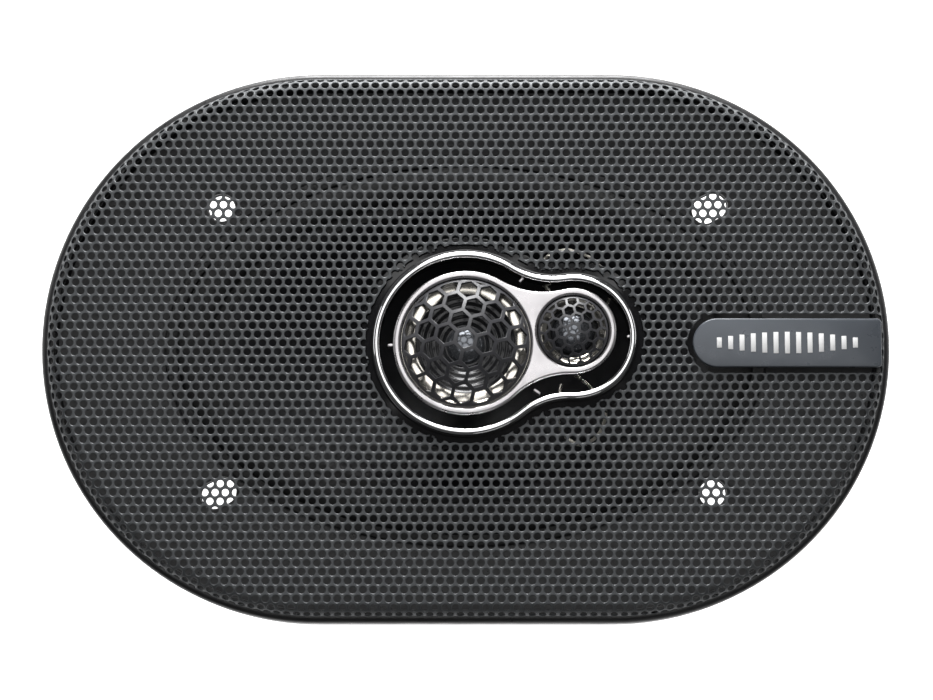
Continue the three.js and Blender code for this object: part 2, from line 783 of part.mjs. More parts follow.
// ---------------------------------------------------------------- tweeter pod
function addPod() {
  const postTop = podFloorZ;
  const postZ = basketZ + poleRise;
  const post = turned([
    [0, backPlateZ + GAP],
    [studRadius, backPlateZ + GAP],
    [studRadius, postZ],
    [postRadius, postZ],
    [postRadius, postTop - postFootHeight],
    [postFootRadius, postTop],
    [0, postTop],
  ]);
  add("pod_post", post, blackPlastic, pod);

  const bezelLoop = eight(podLargeRadius, podSmallRadius, podWaist);
  const wallLine = rectangle(bezelOverhang, bezelOverhang + podWall, podFloorZ, bezelZ);
  const wall = band(bezelLoop, wallLine);
  const floor = prism(bezelLoop(bezelOverhang + weld), podFloorZ, podInsideZ);
  const ribReach = ribLength + podWall / 2;
  const ribX = lobeSpacing * ribPlace;
  const wallY = bezelLoop(bezelOverhang).reduce((a, b) =>
    Math.abs(b[0] - ribX) < Math.abs(a[0] - ribX) ? b : a,
  )[1];
  const ribY = Math.abs(wallY) + ribReach / 2 - podWall / 2;
  const ribs = [1, -1].map((side) =>
    box(ribWidth, ribReach, ribHeight, ribX, side * ribY, bezelZ - ribDrop - ribHeight / 2),
  );
  add("pod_housing", join(wall, floor, ...ribs), glossBlack, pod);

  const bezel = cut(
    prism(bezelLoop(0), bezelZ, bezelTopZ),
    ring(0, midBoreRadius, bezelZ - overrun, bezelTopZ + overrun, 40),
    ring(0, tweeterBoreRadius, bezelZ - overrun, bezelTopZ + overrun, 28, lobeSpacing),
  );
  add("pod_bezel", bezel, satinSilver, pod);
  addMidrange();
  addTweeter();
}

// The bright ring round each unit, sloping from the grille's edge down to the unit's face.
function reflector(boreRadius, slope, x, segments) {
  const outer = boreRadius - GAP;
  return turned(
    [
      [outer - slope, unitTopZ],
      [outer, unitTopZ],
      [outer, reflectorTopZ],
      [outer - reflectorWall, reflectorTopZ],
    ],
    segments,
    x,
    0,
  );
}

function addMidrange() {
  const magnetTop = podInsideZ + midMagnetThickness;
  add("midrange_magnet", ring(0, midMagnetRadius, podInsideZ, magnetTop, 28), ferrite, pod);
  const frame = turned(
    [
      [midNeckRadius + midNeckGap, magnetTop],
      [midMagnetRadius, magnetTop],
      [midFrameRadius, unitTopZ - midFrameWall],
      [midFrameRadius, unitTopZ],
      [midConeEdge + midEdgeGap, unitTopZ],
      [midConeEdge + midEdgeGap, unitTopZ - midFrameWall],
      [midMagnetRadius - midFrameFloor, magnetTop + midFrameFloor],
      [midNeckRadius + midNeckGap, magnetTop + midFrameFloor],
    ],
    32,
  );
  add("midrange_frame", frame, blackSteel, pod);
  const neckZ = magnetTop + midConeRise;
  const coneTop = unitTopZ - midConeDrop;
  const cone = turned(
    [
      [midNeckRadius, neckZ],
      [midConeEdge, coneTop - midConeWall],
      [midConeEdge, coneTop],
      [midNeckRadius, neckZ + midConeWall],
    ],
    32,
  );
  add("midrange_cone", cone, conePaper, pod);
  const capRadius = midNeckRadius + midCapOverlap;
  const cap = domeShell(capRadius, midCapHeight, capWall, neckZ + midCapOverlap, 0, 16, 3);
  add("midrange_cap", cap, silkFilm, pod);
  const coilFoot = magnetTop + midTravel + GAP;
  const coilOuter = midNeckRadius - GLUE_GAP;
  const coil = ring(coilOuter - midCoilWall, coilOuter, coilFoot, neckZ + midConeWall, 20);
  add("midrange_coil", coil, copper, pod);
  add("midrange_reflector", reflector(midBoreRadius, midReflectorSlope, 0, 36), chrome, pod);
  const dome = domeShell(midBoreRadius - GAP, midDomeHeight, domeThickness, grilleSeatZ, 0, 28, 5);
  add("midrange_grille", dome, blackPlastic, pod);
}

function addTweeter() {
  const magnetTop = podInsideZ + tweeterMagnetThickness;
  const magnet = ring(0, tweeterMagnetRadius, podInsideZ, magnetTop, 24, lobeSpacing);
  add("tweeter_magnet", magnet, ferrite, pod);
  const frame = turned(
    [
      [tweeterDomeRadius - tweeterFrameLip, magnetTop],
      [tweeterFrameRadius, magnetTop],
      [tweeterFrameRadius, unitTopZ],
      [tweeterDomeRadius + tweeterEdgeGap, unitTopZ - tweeterFlare],
      [tweeterDomeRadius + tweeterEdgeGap, magnetTop + tweeterFrameFloor],
      [tweeterDomeRadius - tweeterFrameLip, magnetTop + tweeterFrameFloor],
    ],
    24,
    lobeSpacing,
    0,
  );
  add("tweeter_frame", frame, blackPlastic, pod);
  const domeZ = unitTopZ - tweeterDomeDrop;
  const diaphragm = domeShell(tweeterDomeRadius, tweeterDomeRise, capWall, domeZ, lobeSpacing, 18, 4);
  add("tweeter_dome", diaphragm, silkFilm, pod);
  const coilOuter = tweeterDomeRadius - tweeterCoilInset;
  const [coilFoot, coilTop] = [magnetTop + tweeterCoilRise, domeZ - GLUE_GAP];
  const coil = ring(coilOuter - tweeterCoilWall, coilOuter, coilFoot, coilTop, 20, lobeSpacing);
  add("tweeter_coil", coil, copper, pod);
  const bright = reflector(tweeterBoreRadius, tweeterReflectorSlope, lobeSpacing, 28);
  add("tweeter_reflector", bright, chrome, pod);
  const grilleDome = domeShell(
    tweeterBoreRadius - GAP,
    tweeterDomeHeight,
    domeThickness * tweeterGrilleShare,
    grilleSeatZ,
    lobeSpacing,
    24,
    4,
  );
  add("tweeter_grille", grilleDome, blackPlastic, pod);
}

// ---------------------------------------------------------------- terminals and wiring
function addTerminals() {
  const boardTop = ledgeZ;
  const boardY = -boardInset - boardDepth / 2;
  const board = box(boardLength, boardDepth, boardThickness, 0, boardY, boardTop - boardThickness / 2);
  const funnelFoot = ledgeOuterRadius + steel + GAP;
  const clearFunnel = ring(0, funnelFoot, boardTop - 2 * boardThickness, boardTop + overrun, 40);
  add("terminal_board", cut(board, clearFunnel), phenolic);
  const bladeZ = boardTop - boardThickness - bladeThickness;
  const bladeStartY = -boardInset - boardDepth + bladeSeat;
  const blades = [
    ["terminal_positive", positiveBladeWidth, -1],
    ["terminal_negative", negativeBladeWidth, 1],
  ];
  blades.forEach(([name, width, side]) => {
    const length = bladeSeat + bladeLength;
    const x = (side * bladeSpacing) / 2;
    const [y, z] = [bladeStartY - length / 2, bladeZ + bladeThickness / 2];
    const tongue = box(width, length, bladeThickness, x, y, z);
    add(name, tongue, zincSteel);
    const rivetY = bladeStartY - bladeSeat / 2;
    const rivetTop = ring(0, bladeRivetRadius, bladeZ - bladeRivetHead, bladeZ, 12, x, rivetY);
    add(name.replace("terminal", "terminal_rivet"), rivetTop, zincSteel);
  });
  const tabTop = ledgeZ + steel;
  const capY = -boardInset - capacitorStandOff;
  const midCap = bar(midCapRadius, midCapLength, 0, capY, tabTop + midCapRadius);
  add("midrange_capacitor", midCap, capacitorSleeve);
  const smallY = capY - midCapRadius - tweeterCapRadius - GAP;
  const smallCap = bar(tweeterCapRadius, tweeterCapLength, 0, smallY, tabTop + tweeterCapRadius);
  add("tweeter_capacitor", smallCap, capacitorSleeve);
}

// Flexible leads from the board, through the basket's windows, to the cone. Then two leads that loop
// from the pod's small lobe round to its post.
function addLeads() {
  const wallY = THREE.MathUtils.lerp(ledgeOuterRadius, funnelTopRadius, leadCrossing);
  const wallZ = THREE.MathUtils.lerp(ledgeZ, flangeZ, leadCrossing) + steel;
  [-1, 1].forEach((side) => {
    const points = [
      [side * 15.2, -boardInset - 11, ledgeZ + GAP + leadRadius],
      [side * 16, -wallY - 3.4, wallZ - 2.5],
      [side * 17, -wallY + 0.6, wallZ],
      [side * 17, -wallY + 10, wallZ - 0.5],
      [side * 14, -wallY + 18, wallZ + 1],
      [side * 12.5, -coneNeckRadius - 13.75, coneNeckZ + 10.2],
    ];
    const name = side < 0 ? "tinsel_lead_positive" : "tinsel_lead_negative";
    add(name, wire(points, leadRadius, 18), tinsel);
  });
  const lobeX = lobeSpacing * Math.cos(degrees(podAngle));
  const lobeY = lobeSpacing * Math.sin(degrees(podAngle));
  const postX = postRadius + leadRadius + GAP;
  const loops = {
    pod_lead_upper: [
      [lobeX - 7.5, lobeY + 15.1, podFloorZ + 3],
      [lobeX - 11.4, lobeY + 20.4, podFloorZ + 5],
      [lobeX - 9.1, lobeY + 26.9, podFloorZ + 6.5],
      [lobeX - 1.1, lobeY + 29.4, podFloorZ + 7],
      [lobeX + 8.9, lobeY + 24.9, podFloorZ + 6],
      [lobeX + 13.9, lobeY + 14.9, podFloorZ + 1],
      [lobeX + 2.9, lobeY + 2.9, podFloorZ - 9],
      [20, 2.5, podFloorZ - 12],
      [postX, 1, podFloorZ - 10],
    ],
    pod_lead_lower: [
      [lobeX - 3.9, lobeY - 17.1, podFloorZ + 3],
      [lobeX - 5.2, lobeY - 28.1, podFloorZ + 5],
      [lobeX - 3.1, lobeY - 35.1, podFloorZ + 6.5],
      [lobeX + 2.9, lobeY - 38.6, podFloorZ + 7],
      [lobeX + 9.4, lobeY - 34.1, podFloorZ + 6],
      [lobeX + 10.9, lobeY - 24.1, podFloorZ + 1],
      [lobeX + 0.9, lobeY - 12.1, podFloorZ - 10],
      [20, -3, podFloorZ - 15],
      [postX, -1, podFloorZ - 14],
    ],
  };
  Object.entries(loops).forEach(([name, points]) => add(name, wire(points, leadRadius, 28), tinsel));
}

addMotor();
addBasket();
addBasketRivets();
addMovingAssembly();
addBaseRing();
addGrille();
addPod();
addTerminals();
addLeads();

export default speaker;
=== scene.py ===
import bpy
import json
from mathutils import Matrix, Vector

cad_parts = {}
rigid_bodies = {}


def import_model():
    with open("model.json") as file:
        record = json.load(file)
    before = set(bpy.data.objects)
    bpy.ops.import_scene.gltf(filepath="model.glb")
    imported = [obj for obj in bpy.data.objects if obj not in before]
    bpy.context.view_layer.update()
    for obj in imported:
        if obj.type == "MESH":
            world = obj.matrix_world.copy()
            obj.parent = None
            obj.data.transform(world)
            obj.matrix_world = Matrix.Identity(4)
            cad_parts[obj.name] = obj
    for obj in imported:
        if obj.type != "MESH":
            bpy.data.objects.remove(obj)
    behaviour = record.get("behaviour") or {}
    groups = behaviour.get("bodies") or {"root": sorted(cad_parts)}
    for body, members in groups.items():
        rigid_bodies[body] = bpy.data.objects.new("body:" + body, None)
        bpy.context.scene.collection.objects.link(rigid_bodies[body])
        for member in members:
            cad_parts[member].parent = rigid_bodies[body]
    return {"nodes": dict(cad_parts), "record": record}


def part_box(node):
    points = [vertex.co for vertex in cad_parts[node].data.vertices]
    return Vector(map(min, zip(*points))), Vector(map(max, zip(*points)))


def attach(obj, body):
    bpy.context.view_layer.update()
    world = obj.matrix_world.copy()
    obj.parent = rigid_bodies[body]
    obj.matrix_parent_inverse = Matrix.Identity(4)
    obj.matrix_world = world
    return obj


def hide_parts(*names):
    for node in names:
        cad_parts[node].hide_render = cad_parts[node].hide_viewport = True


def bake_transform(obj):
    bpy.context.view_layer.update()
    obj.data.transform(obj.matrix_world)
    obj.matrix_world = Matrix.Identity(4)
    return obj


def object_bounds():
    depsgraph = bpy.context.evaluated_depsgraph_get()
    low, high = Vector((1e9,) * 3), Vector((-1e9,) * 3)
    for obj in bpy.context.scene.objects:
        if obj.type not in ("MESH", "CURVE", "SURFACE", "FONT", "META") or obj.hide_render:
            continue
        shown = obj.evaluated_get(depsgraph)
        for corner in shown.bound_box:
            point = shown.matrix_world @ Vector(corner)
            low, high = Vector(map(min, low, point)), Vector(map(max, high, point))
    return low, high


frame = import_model()

import json
import math

import bmesh
import bpy
import numpy as np
from mathutils import Matrix, Vector

bl_info = {
    "name": "Coaxial Speaker Looks",
    "version": (1, 0, 0),
    "blender": (4, 5, 0),
    "location": "View3D > Sidebar > Speaker",
    "description": "Models the visible pieces of an oval coaxial speaker on its packed frame",
    "category": "Object",
}

MM = 0.001
CAD_BOUNDS = [list(corner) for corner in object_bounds()]

# ------------------------------------------------------------------ places taken from the frame


def low(node):
    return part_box(node)[0]


def high(node):
    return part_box(node)[1]


def middle(node):
    return (low(node) + high(node)) / 2


def half_width(node):
    return (high(node).x - low(node).x) / 2


RIM_LOW, RIM_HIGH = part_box("grille_rim")
SHEET_LOW, SHEET_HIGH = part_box("grille_sheet_edge")
RIM_RADIUS = RIM_HIGH.y
STRAIGHT = RIM_HIGH.x - RIM_HIGH.y  # half the straight side of the stadium
TWEETER = middle("tweeter_grille")
LOBE_SPACING = math.hypot(TWEETER.x, TWEETER.y)
POD_TURN = math.atan2(TWEETER.y, TWEETER.x)
RING_TURN = math.radians(3.4)
RING_WAIST = 25 * MM
POD_WAIST = 28 * MM
RING_LARGE = high("trim_ring").y
RING_SMALL = high("trim_ring").x - LOBE_SPACING * math.cos(RING_TURN)
POD_LARGE = -low("pod_bezel").x
POD_SMALL = high("pod_bezel").x - TWEETER.x
OVAL_STRETCH = high("basket").x - high("basket").y
FINE = 1e-6
SLIVER = 0.002 * MM * MM  # faces smaller than this are trimming waste
SHEET_INSET = RIM_HIGH.y - SHEET_HIGH.y
BASKET_LEDGE = 43 * MM  # half width of the basket at the spider's ledge, where it is round
BASKET_TOP = 65 * MM  # half width at the top of the windows, where it is fully oval
FLANGE_START = 69 * MM  # half width past which the flange's outline grows squarer
SPOKE_PITCH = 45  # degrees from one spoke to the next
WINDOW_REACH = 12.4  # half of a window, in degrees
SCREW_X, SCREW_Y = 86 * MM, 50.4 * MM  # centres of the screw holes

# ------------------------------------------------------------------ what a user would change


class SpeakerSizes(bpy.types.PropertyGroup):
    """Sizes of the visible detail."""

    hole_pitch: bpy.props.FloatProperty(
        name="Hole pitch", description="Distance between holes in a row of the sheet",
        default=3.5 * MM, unit="LENGTH")
    hole_radius: bpy.props.FloatProperty(
        name="Hole radius", description="Radius of each hole in the sheet",
        default=1.25 * MM, unit="LENGTH")
    hole_rim: bpy.props.FloatProperty(
        name="Hole rim", description="Width of the rounded edge round each hole",
        default=0.26 * MM, unit="LENGTH")
    sheet_thickness: bpy.props.FloatProperty(
        name="Sheet thickness", description="Thickness of the perforated sheet",
        default=0.7 * MM, unit="LENGTH")
    sheet_roll: bpy.props.FloatProperty(
        name="Edge roll", description="Radius of the sheet's rolled edge",
        default=5 * MM, unit="LENGTH")
    midrange_cell: bpy.props.FloatProperty(
        name="Midrange cell", description="Honeycomb pitch of the midrange grille",
        default=6.9 * MM, unit="LENGTH")
    tweeter_cell: bpy.props.FloatProperty(
        name="Tweeter cell", description="Honeycomb pitch of the tweeter grille",
        default=3.9 * MM, unit="LENGTH")
    midrange_strut: bpy.props.FloatProperty(
        name="Midrange strut", description="Width of the midrange grille's struts",
        default=1.25 * MM, unit="LENGTH")
    tweeter_strut: bpy.props.FloatProperty(
        name="Tweeter strut", description="Width of the tweeter grille's struts",
        default=0.8 * MM, unit="LENGTH")
    rib_count: bpy.props.IntProperty(
        name="Cone ribs", description="Concentric ribs pressed into the midrange cone", default=6)


class SpeakerColours(bpy.types.PropertyGroup):
    """Base colours of the main finishes."""

    sheet: bpy.props.FloatVectorProperty(
        name="Sheet", description="Paint on the perforated sheet", subtype="COLOR",
        default=(0.0022, 0.0024, 0.003))
    plastic: bpy.props.FloatVectorProperty(
        name="Plastic", description="Moulded rim and base", subtype="COLOR",
        default=(0.016, 0.016, 0.017))
    guard: bpy.props.FloatVectorProperty(
        name="Honeycomb", description="Honeycomb grilles over the small drivers", subtype="COLOR",
        default=(0.045, 0.045, 0.05))
    bezel: bpy.props.FloatVectorProperty(
        name="Bezel", description="Satin bezel of the pod", subtype="COLOR",
        default=(0.62, 0.6, 0.61))
    badge: bpy.props.FloatVectorProperty(
        name="Badge", description="Badge plate", subtype="COLOR", default=(0.075, 0.085, 0.1))


def sizes():
    return bpy.context.scene.speaker_sizes


def colours():
    return bpy.context.scene.speaker_colours


# ------------------------------------------------------------------ finishes


def noise(nodes, links, place, scale, detail=4.0):
    made = nodes.new("ShaderNodeTexNoise")
    made.inputs["Scale"].default_value = scale
    made.inputs["Detail"].default_value = detail
    links.new(place, made.inputs["Vector"])
    return made.outputs["Fac"]


def spread(nodes, links, source, low_value, high_value):
    made = nodes.new("ShaderNodeMapRange")
    made.inputs["From Min"].default_value = 0.3
    made.inputs["From Max"].default_value = 0.7
    made.inputs["To Min"].default_value = low_value
    made.inputs["To Max"].default_value = high_value
    links.new(source, made.inputs["Value"])
    return made.outputs["Result"]


def finish(name, colour, roughness, metallic=0.0, grain=900, bump=0.05, stretch=(1, 1, 1),
           rings=0.0, coat=0.0, vary=0.15, wear=0.25, level=0.5):
    """A procedural finish: fine grain in the surface, uneven gloss and slightly uneven colour."""
    if name in bpy.data.materials:
        return bpy.data.materials[name]
    material = bpy.data.materials.new(name)
    material.use_nodes = True
    nodes, links = material.node_tree.nodes, material.node_tree.links
    shader = nodes["Principled BSDF"]
    shader.inputs["Metallic"].default_value = metallic
    shader.inputs["Coat Weight"].default_value = coat
    shader.inputs["Specular IOR Level"].default_value = level
    shader.inputs["Coat Roughness"].default_value = 0.08
    place = nodes.new("ShaderNodeTexCoord").outputs["Object"]
    mapping = nodes.new("ShaderNodeMapping")
    mapping.inputs["Scale"].default_value = stretch
    links.new(place, mapping.inputs["Vector"])
    blotch_scale, scuff_scale = 45, 160
    blotches = noise(nodes, links, place, blotch_scale, 3)
    tint = nodes.new("ShaderNodeMix")
    tint.data_type = "RGBA"
    tint.inputs["A"].default_value = (*[c * (1 - vary) for c in colour], 1)
    tint.inputs["B"].default_value = (*[min(1, c * (1 + vary)) for c in colour], 1)
    links.new(blotches, tint.inputs["Factor"])
    links.new(tint.outputs["Result"], shader.inputs["Base Color"])
    scuffs = noise(nodes, links, place, scuff_scale, 8)
    gloss = spread(nodes, links, scuffs, roughness * (1 - wear), min(1, roughness * (1 + wear)))
    links.new(gloss, shader.inputs["Roughness"])
    height = noise(nodes, links, mapping.outputs["Vector"], grain)
    if rings:
        waves = nodes.new("ShaderNodeTexWave")
        waves.wave_type = "RINGS"
        waves.rings_direction = "Z"
        waves.inputs["Scale"].default_value = rings
        waves.inputs["Distortion"].default_value = 0.3
        links.new(place, waves.inputs["Vector"])
        both = nodes.new("ShaderNodeMath")
        both.operation = "MULTIPLY_ADD"
        both.inputs[1].default_value = 0.7
        links.new(waves.outputs["Fac"], both.inputs[0])
        links.new(height, both.inputs[2])
        height = both.outputs["Value"]
    relief = nodes.new("ShaderNodeBump")
    relief.inputs["Strength"].default_value = bump
    relief.inputs["Distance"].default_value = 0.3 * MM
    links.new(height, relief.inputs["Height"])
    links.new(relief.outputs["Normal"], shader.inputs["Normal"])
    return material


def painted_sheet():
    """Satin paint that has worn glossier on the holes' rounded edges than on the flat face."""
    if "painted_sheet" in bpy.data.materials:
        return bpy.data.materials["painted_sheet"]
    material = finish("painted_sheet", colours().sheet, 0.3, grain=1800, bump=0.08)
    nodes, links = material.node_tree.nodes, material.node_tree.links
    axes = nodes.new("ShaderNodeSeparateXYZ")
    links.new(nodes["Texture Coordinate"].outputs["Normal"], axes.inputs["Vector"])
    worn = nodes.new("ShaderNodeMapRange")
    worn.inputs["From Min"].default_value = 0.75
    worn.inputs["From Max"].default_value = 0.98
    worn.inputs["To Min"].default_value = 1.0
    worn.inputs["To Max"].default_value = 0.15
    links.new(axes.outputs["Z"], worn.inputs["Value"])
    links.new(worn.outputs["Result"], nodes["Principled BSDF"].inputs["Specular IOR Level"])
    return material


def moulded_plastic():
    return finish("moulded_plastic", colours().plastic, 0.34, grain=2600, bump=0.12)


def gloss_plastic():
    return finish("gloss_plastic", (0.006, 0.006, 0.007), 0.12, grain=300, bump=0.02, coat=0.4)


def honeycomb_plastic():
    return finish("honeycomb_plastic", colours().guard, 0.38, grain=2200, bump=0.08)


def chrome_plate():
    return finish("chrome_plate", (0.86, 0.86, 0.87), 0.06, 1.0, grain=90, bump=0.015, vary=0.02)


def reflector_plate():
    return finish("reflector_plate", (0.9, 0.86, 0.78), 0.12, 1.0, grain=200, bump=0.03, vary=0.03)


def satin_plate():
    return finish("satin_plate", colours().bezel, 0.3, 1.0, grain=700, bump=0.05,
                  stretch=(0.06, 1, 1), vary=0.05)


def black_steel():
    return finish("black_steel", (0.012, 0.012, 0.014), 0.36, 0.3, grain=1500, bump=0.12)


def zinc_steel():
    return finish("zinc_steel", (0.56, 0.55, 0.5), 0.32, 1.0, grain=500, bump=0.08, wear=0.35)


def ferrite():
    return finish("ferrite", (0.035, 0.035, 0.038), 0.7, grain=1200, bump=0.3)


def rubber():
    return finish("rubber", (0.012, 0.012, 0.013), 0.6, grain=1600, bump=0.15)


def cone_pulp():
    return finish("cone_pulp", (0.012, 0.012, 0.014), 0.5, grain=1400, bump=0.3, rings=60)


def spider_cloth():
    return finish("spider_cloth", (0.5, 0.32, 0.1), 0.85, grain=3000, bump=0.5, vary=0.25)


def foam():
    return finish("foam", (0.016, 0.016, 0.017), 0.92, grain=2400, bump=0.7)


def copper_wire():
    return finish("copper_wire", (0.6, 0.25, 0.1), 0.3, 1.0, grain=2500, bump=0.3, stretch=(0.05, 0.05, 1))


def former_film():
    return finish("former_film", (0.4, 0.22, 0.08), 0.3, grain=300, bump=0.05, coat=0.3)


def phenolic():
    return finish("phenolic", (0.2, 0.075, 0.03), 0.55, grain=1500, bump=0.2, stretch=(0.2, 1, 1), vary=0.3)


def capacitor_sleeve():
    return finish("capacitor_sleeve", (0.03, 0.08, 0.3), 0.28, grain=250, bump=0.08, coat=0.3)


def tinsel_braid():
    return finish("tinsel_braid", (0.86, 0.82, 0.74), 0.28, 1.0, grain=3500, bump=0.5)


def coated_pulp():
    return finish("coated_pulp", (0.02, 0.02, 0.022), 0.2, 0.3, grain=500, bump=0.05, coat=0.3)


def coated_film():
    return finish("coated_film", (0.2, 0.21, 0.23), 0.16, 0.8, grain=200, bump=0.04)


def badge_lacquer():
    return finish("badge_lacquer", colours().badge, 0.33, 0.2, grain=1800, bump=0.05, coat=0.2)


def white_mark():
    return finish("white_mark", (0.8, 0.8, 0.8), 0.4, grain=800, bump=0.03, vary=0.03)


# ------------------------------------------------------------------ outlines, as lists of (x, y)


def circle(radius, x=0.0, y=0.0, steps=96):
    turn = [2 * math.pi * i / steps for i in range(steps)]
    return [(x + radius * math.cos(a), y + radius * math.sin(a)) for a in turn]


def oval(short, stretch=OVAL_STRETCH, squareness=2.0, steps=160):
    def bulge(v):
        return math.copysign(abs(v) ** (2 / squareness), v)

    turn = [2 * math.pi * i / steps for i in range(steps)]
    return [((short + stretch) * bulge(math.cos(a)), short * bulge(math.sin(a))) for a in turn]


def stadium(inset, steps=80):
    radius = RIM_RADIUS - inset
    points = []
    for side in (1, -1):
        for i in range(steps):
            angle = math.pi * (i / (steps - 1) - 0.5)
            x = STRAIGHT + radius * math.cos(angle)
            points.append((side * x, side * radius * math.sin(angle)))
    return points


def arc(x, y, radius, start, end, steps):
    angles = [start + (end - start) * i / steps for i in range(steps)]
    return [(x + radius * math.cos(a), y + radius * math.sin(a)) for a in angles]


def eight(large, small, waist, turn, inset=0.0):
    """Two arcs joined on each side by a waist arc that touches both."""
    large, small, waist = large - inset, small - inset, waist + inset
    to_large, to_small = large + waist, small + waist
    x = (to_large**2 - to_small**2 + LOBE_SPACING**2) / (2 * LOBE_SPACING)
    y = math.sqrt(to_large**2 - x**2)
    at_large, at_small = math.atan2(y, x), math.atan2(y, x - LOBE_SPACING)
    points = [
        *arc(LOBE_SPACING, 0, small, -at_small, at_small, 56),
        *arc(x, y, waist, at_small - math.pi, at_large - math.pi, 20),
        *arc(0, 0, large, at_large, 2 * math.pi - at_large, 88),
        *arc(x, -y, waist, math.pi - at_large, math.pi - at_small, 20),
    ]
    c, s = math.cos(turn), math.sin(turn)
    return [(px * c - py * s, px * s + py * c) for px, py in points]


def ring_line(inset=0.0):
    return eight(RING_LARGE, RING_SMALL, RING_WAIST, RING_TURN, inset)


def pod_line(inset=0.0):
    return eight(POD_LARGE, POD_SMALL, POD_WAIST, POD_TURN, inset)


def badge_line(grow=0.0):
    lo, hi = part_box("badge_plate")
    half = hi.y + grow
    corner = 1.6 * MM
    end, start = hi.x + grow - corner, lo.x + hi.y
    return [
        *arc(end, -half + corner, corner, -math.pi / 2, 0, 8),
        *arc(end, half - corner, corner, 0, math.pi / 2, 8),
        *arc(start, 0, half, math.pi / 2, 3 * math.pi / 2, 32),
        (start, -half),
    ]


def at_height(outline, z):
    return [(x, y, z) for x, y in outline]


# ------------------------------------------------------------------ modelling steps


def deselect():
    if bpy.context.mode != "OBJECT":
        bpy.ops.object.mode_set(mode="OBJECT")
    bpy.ops.object.select_all(action="DESELECT")


def make_active(piece):
    deselect()
    piece.select_set(True)
    bpy.context.view_layer.objects.active = piece


def corner_key(point):
    return tuple(round(c * 1e7) for c in point)


def move_loop(piece, old, new):
    """Moves the selected loop from its old points to the new ones."""
    mesh = bmesh.from_edit_mesh(piece.data)
    target = {corner_key(Vector(a)): b for a, b in zip(old, new)}
    for vert in mesh.verts:
        if vert.select:
            vert.co = target[corner_key(vert.co)]
    bmesh.update_edit_mesh(piece.data)


def tidy_normals(piece):
    make_active(piece)
    bpy.ops.object.mode_set(mode="EDIT")
    bpy.ops.mesh.select_all(action="SELECT")
    bpy.ops.mesh.remove_doubles(threshold=FINE)
    bpy.ops.mesh.normals_make_consistent(inside=False)
    bpy.ops.object.mode_set(mode="OBJECT")


def sweep(name, loops, closed=True, caps=False):
    """Pulls one edge loop through each outline in turn; closed joins the last to the first."""
    deselect()
    bpy.ops.mesh.primitive_circle_add(vertices=len(loops[0]), radius=1)
    piece = bpy.context.object
    piece.name = piece.data.name = name
    for vert, point in zip(piece.data.vertices, loops[0]):
        vert.co = point
    bpy.ops.object.mode_set(mode="EDIT")
    bpy.ops.mesh.select_all(action="SELECT")
    route = [*loops, loops[0]] if closed else loops
    for old, new in zip(route, route[1:]):
        bpy.ops.mesh.extrude_edges_move()
        move_loop(piece, [Vector(p) for p in rounded(old)], new)
    if caps:
        bpy.ops.mesh.select_all(action="SELECT")
        bpy.ops.mesh.fill_holes(sides=0)
    tidy_normals(piece)
    return piece


def rounded(points):
    """The points as a mesh holds them, in 32-bit numbers."""
    return np.array(points, np.float32).astype(float).tolist()


def turned(name, profile, x=0.0, y=0.0, steps=96, closed=True, caps=False):
    """A round piece about an upright axis, from (radius, height) pairs."""
    return sweep(name, [at_height(circle(r, x, y, steps), z) for r, z in profile], closed, caps)


def apply_modifier(piece, kind, **settings):
    make_active(piece)
    modifier = piece.modifiers.new(kind.title(), kind)
    for key, value in settings.items():
        setattr(modifier, key, value)
    bpy.ops.object.modifier_apply(modifier=modifier.name)


def soften(piece, width, segments=2, angle=35):
    apply_modifier(piece, "BEVEL", width=width, segments=segments, limit_method="ANGLE",
                   angle_limit=math.radians(angle), use_clamp_overlap=True)


def thicken(piece, thickness, offset=-1.0, even=True):
    apply_modifier(piece, "SOLIDIFY", thickness=thickness, offset=offset, use_even_offset=even)


def cut_away(piece, *tools):
    for tool in tools:
        apply_modifier(piece, "BOOLEAN", operation="DIFFERENCE", object=tool, solver="EXACT")
        bpy.data.objects.remove(tool)


def join_into(piece, *others):
    make_active(piece)
    for other in others:
        other.select_set(True)
    bpy.ops.object.join()
    return piece


def block(name, size, place, turn=0.0):
    """A box with softened edges."""
    deselect()
    bpy.ops.mesh.primitive_cube_add(size=1)
    piece = bpy.context.object
    piece.name = piece.data.name = name
    piece.data.transform(Matrix.Diagonal((*size, 1)))
    soften(piece, min(size) * 0.18)
    piece.data.transform(Matrix.Translation(place) @ Matrix.Rotation(turn, 4, "Z"))
    return piece


def plug(outline, bottom, top):
    """A plain prism used to cut holes."""
    return sweep("cutter", [at_height(outline, bottom), at_height(outline, top)], False, True)


def finished(piece, body, material, *nodes, angle=35):
    """Puts the piece on its body in place of the CAD nodes, smooth, in its own finish."""
    make_active(piece)
    bpy.ops.object.shade_smooth_by_angle(angle=math.radians(angle))
    piece.data.materials.clear()
    piece.data.materials.append(material)
    if body:
        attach(piece, body)
    if nodes:
        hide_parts(*nodes)
    return piece


# ------------------------------------------------------------------ perforated sheets and honeycombs


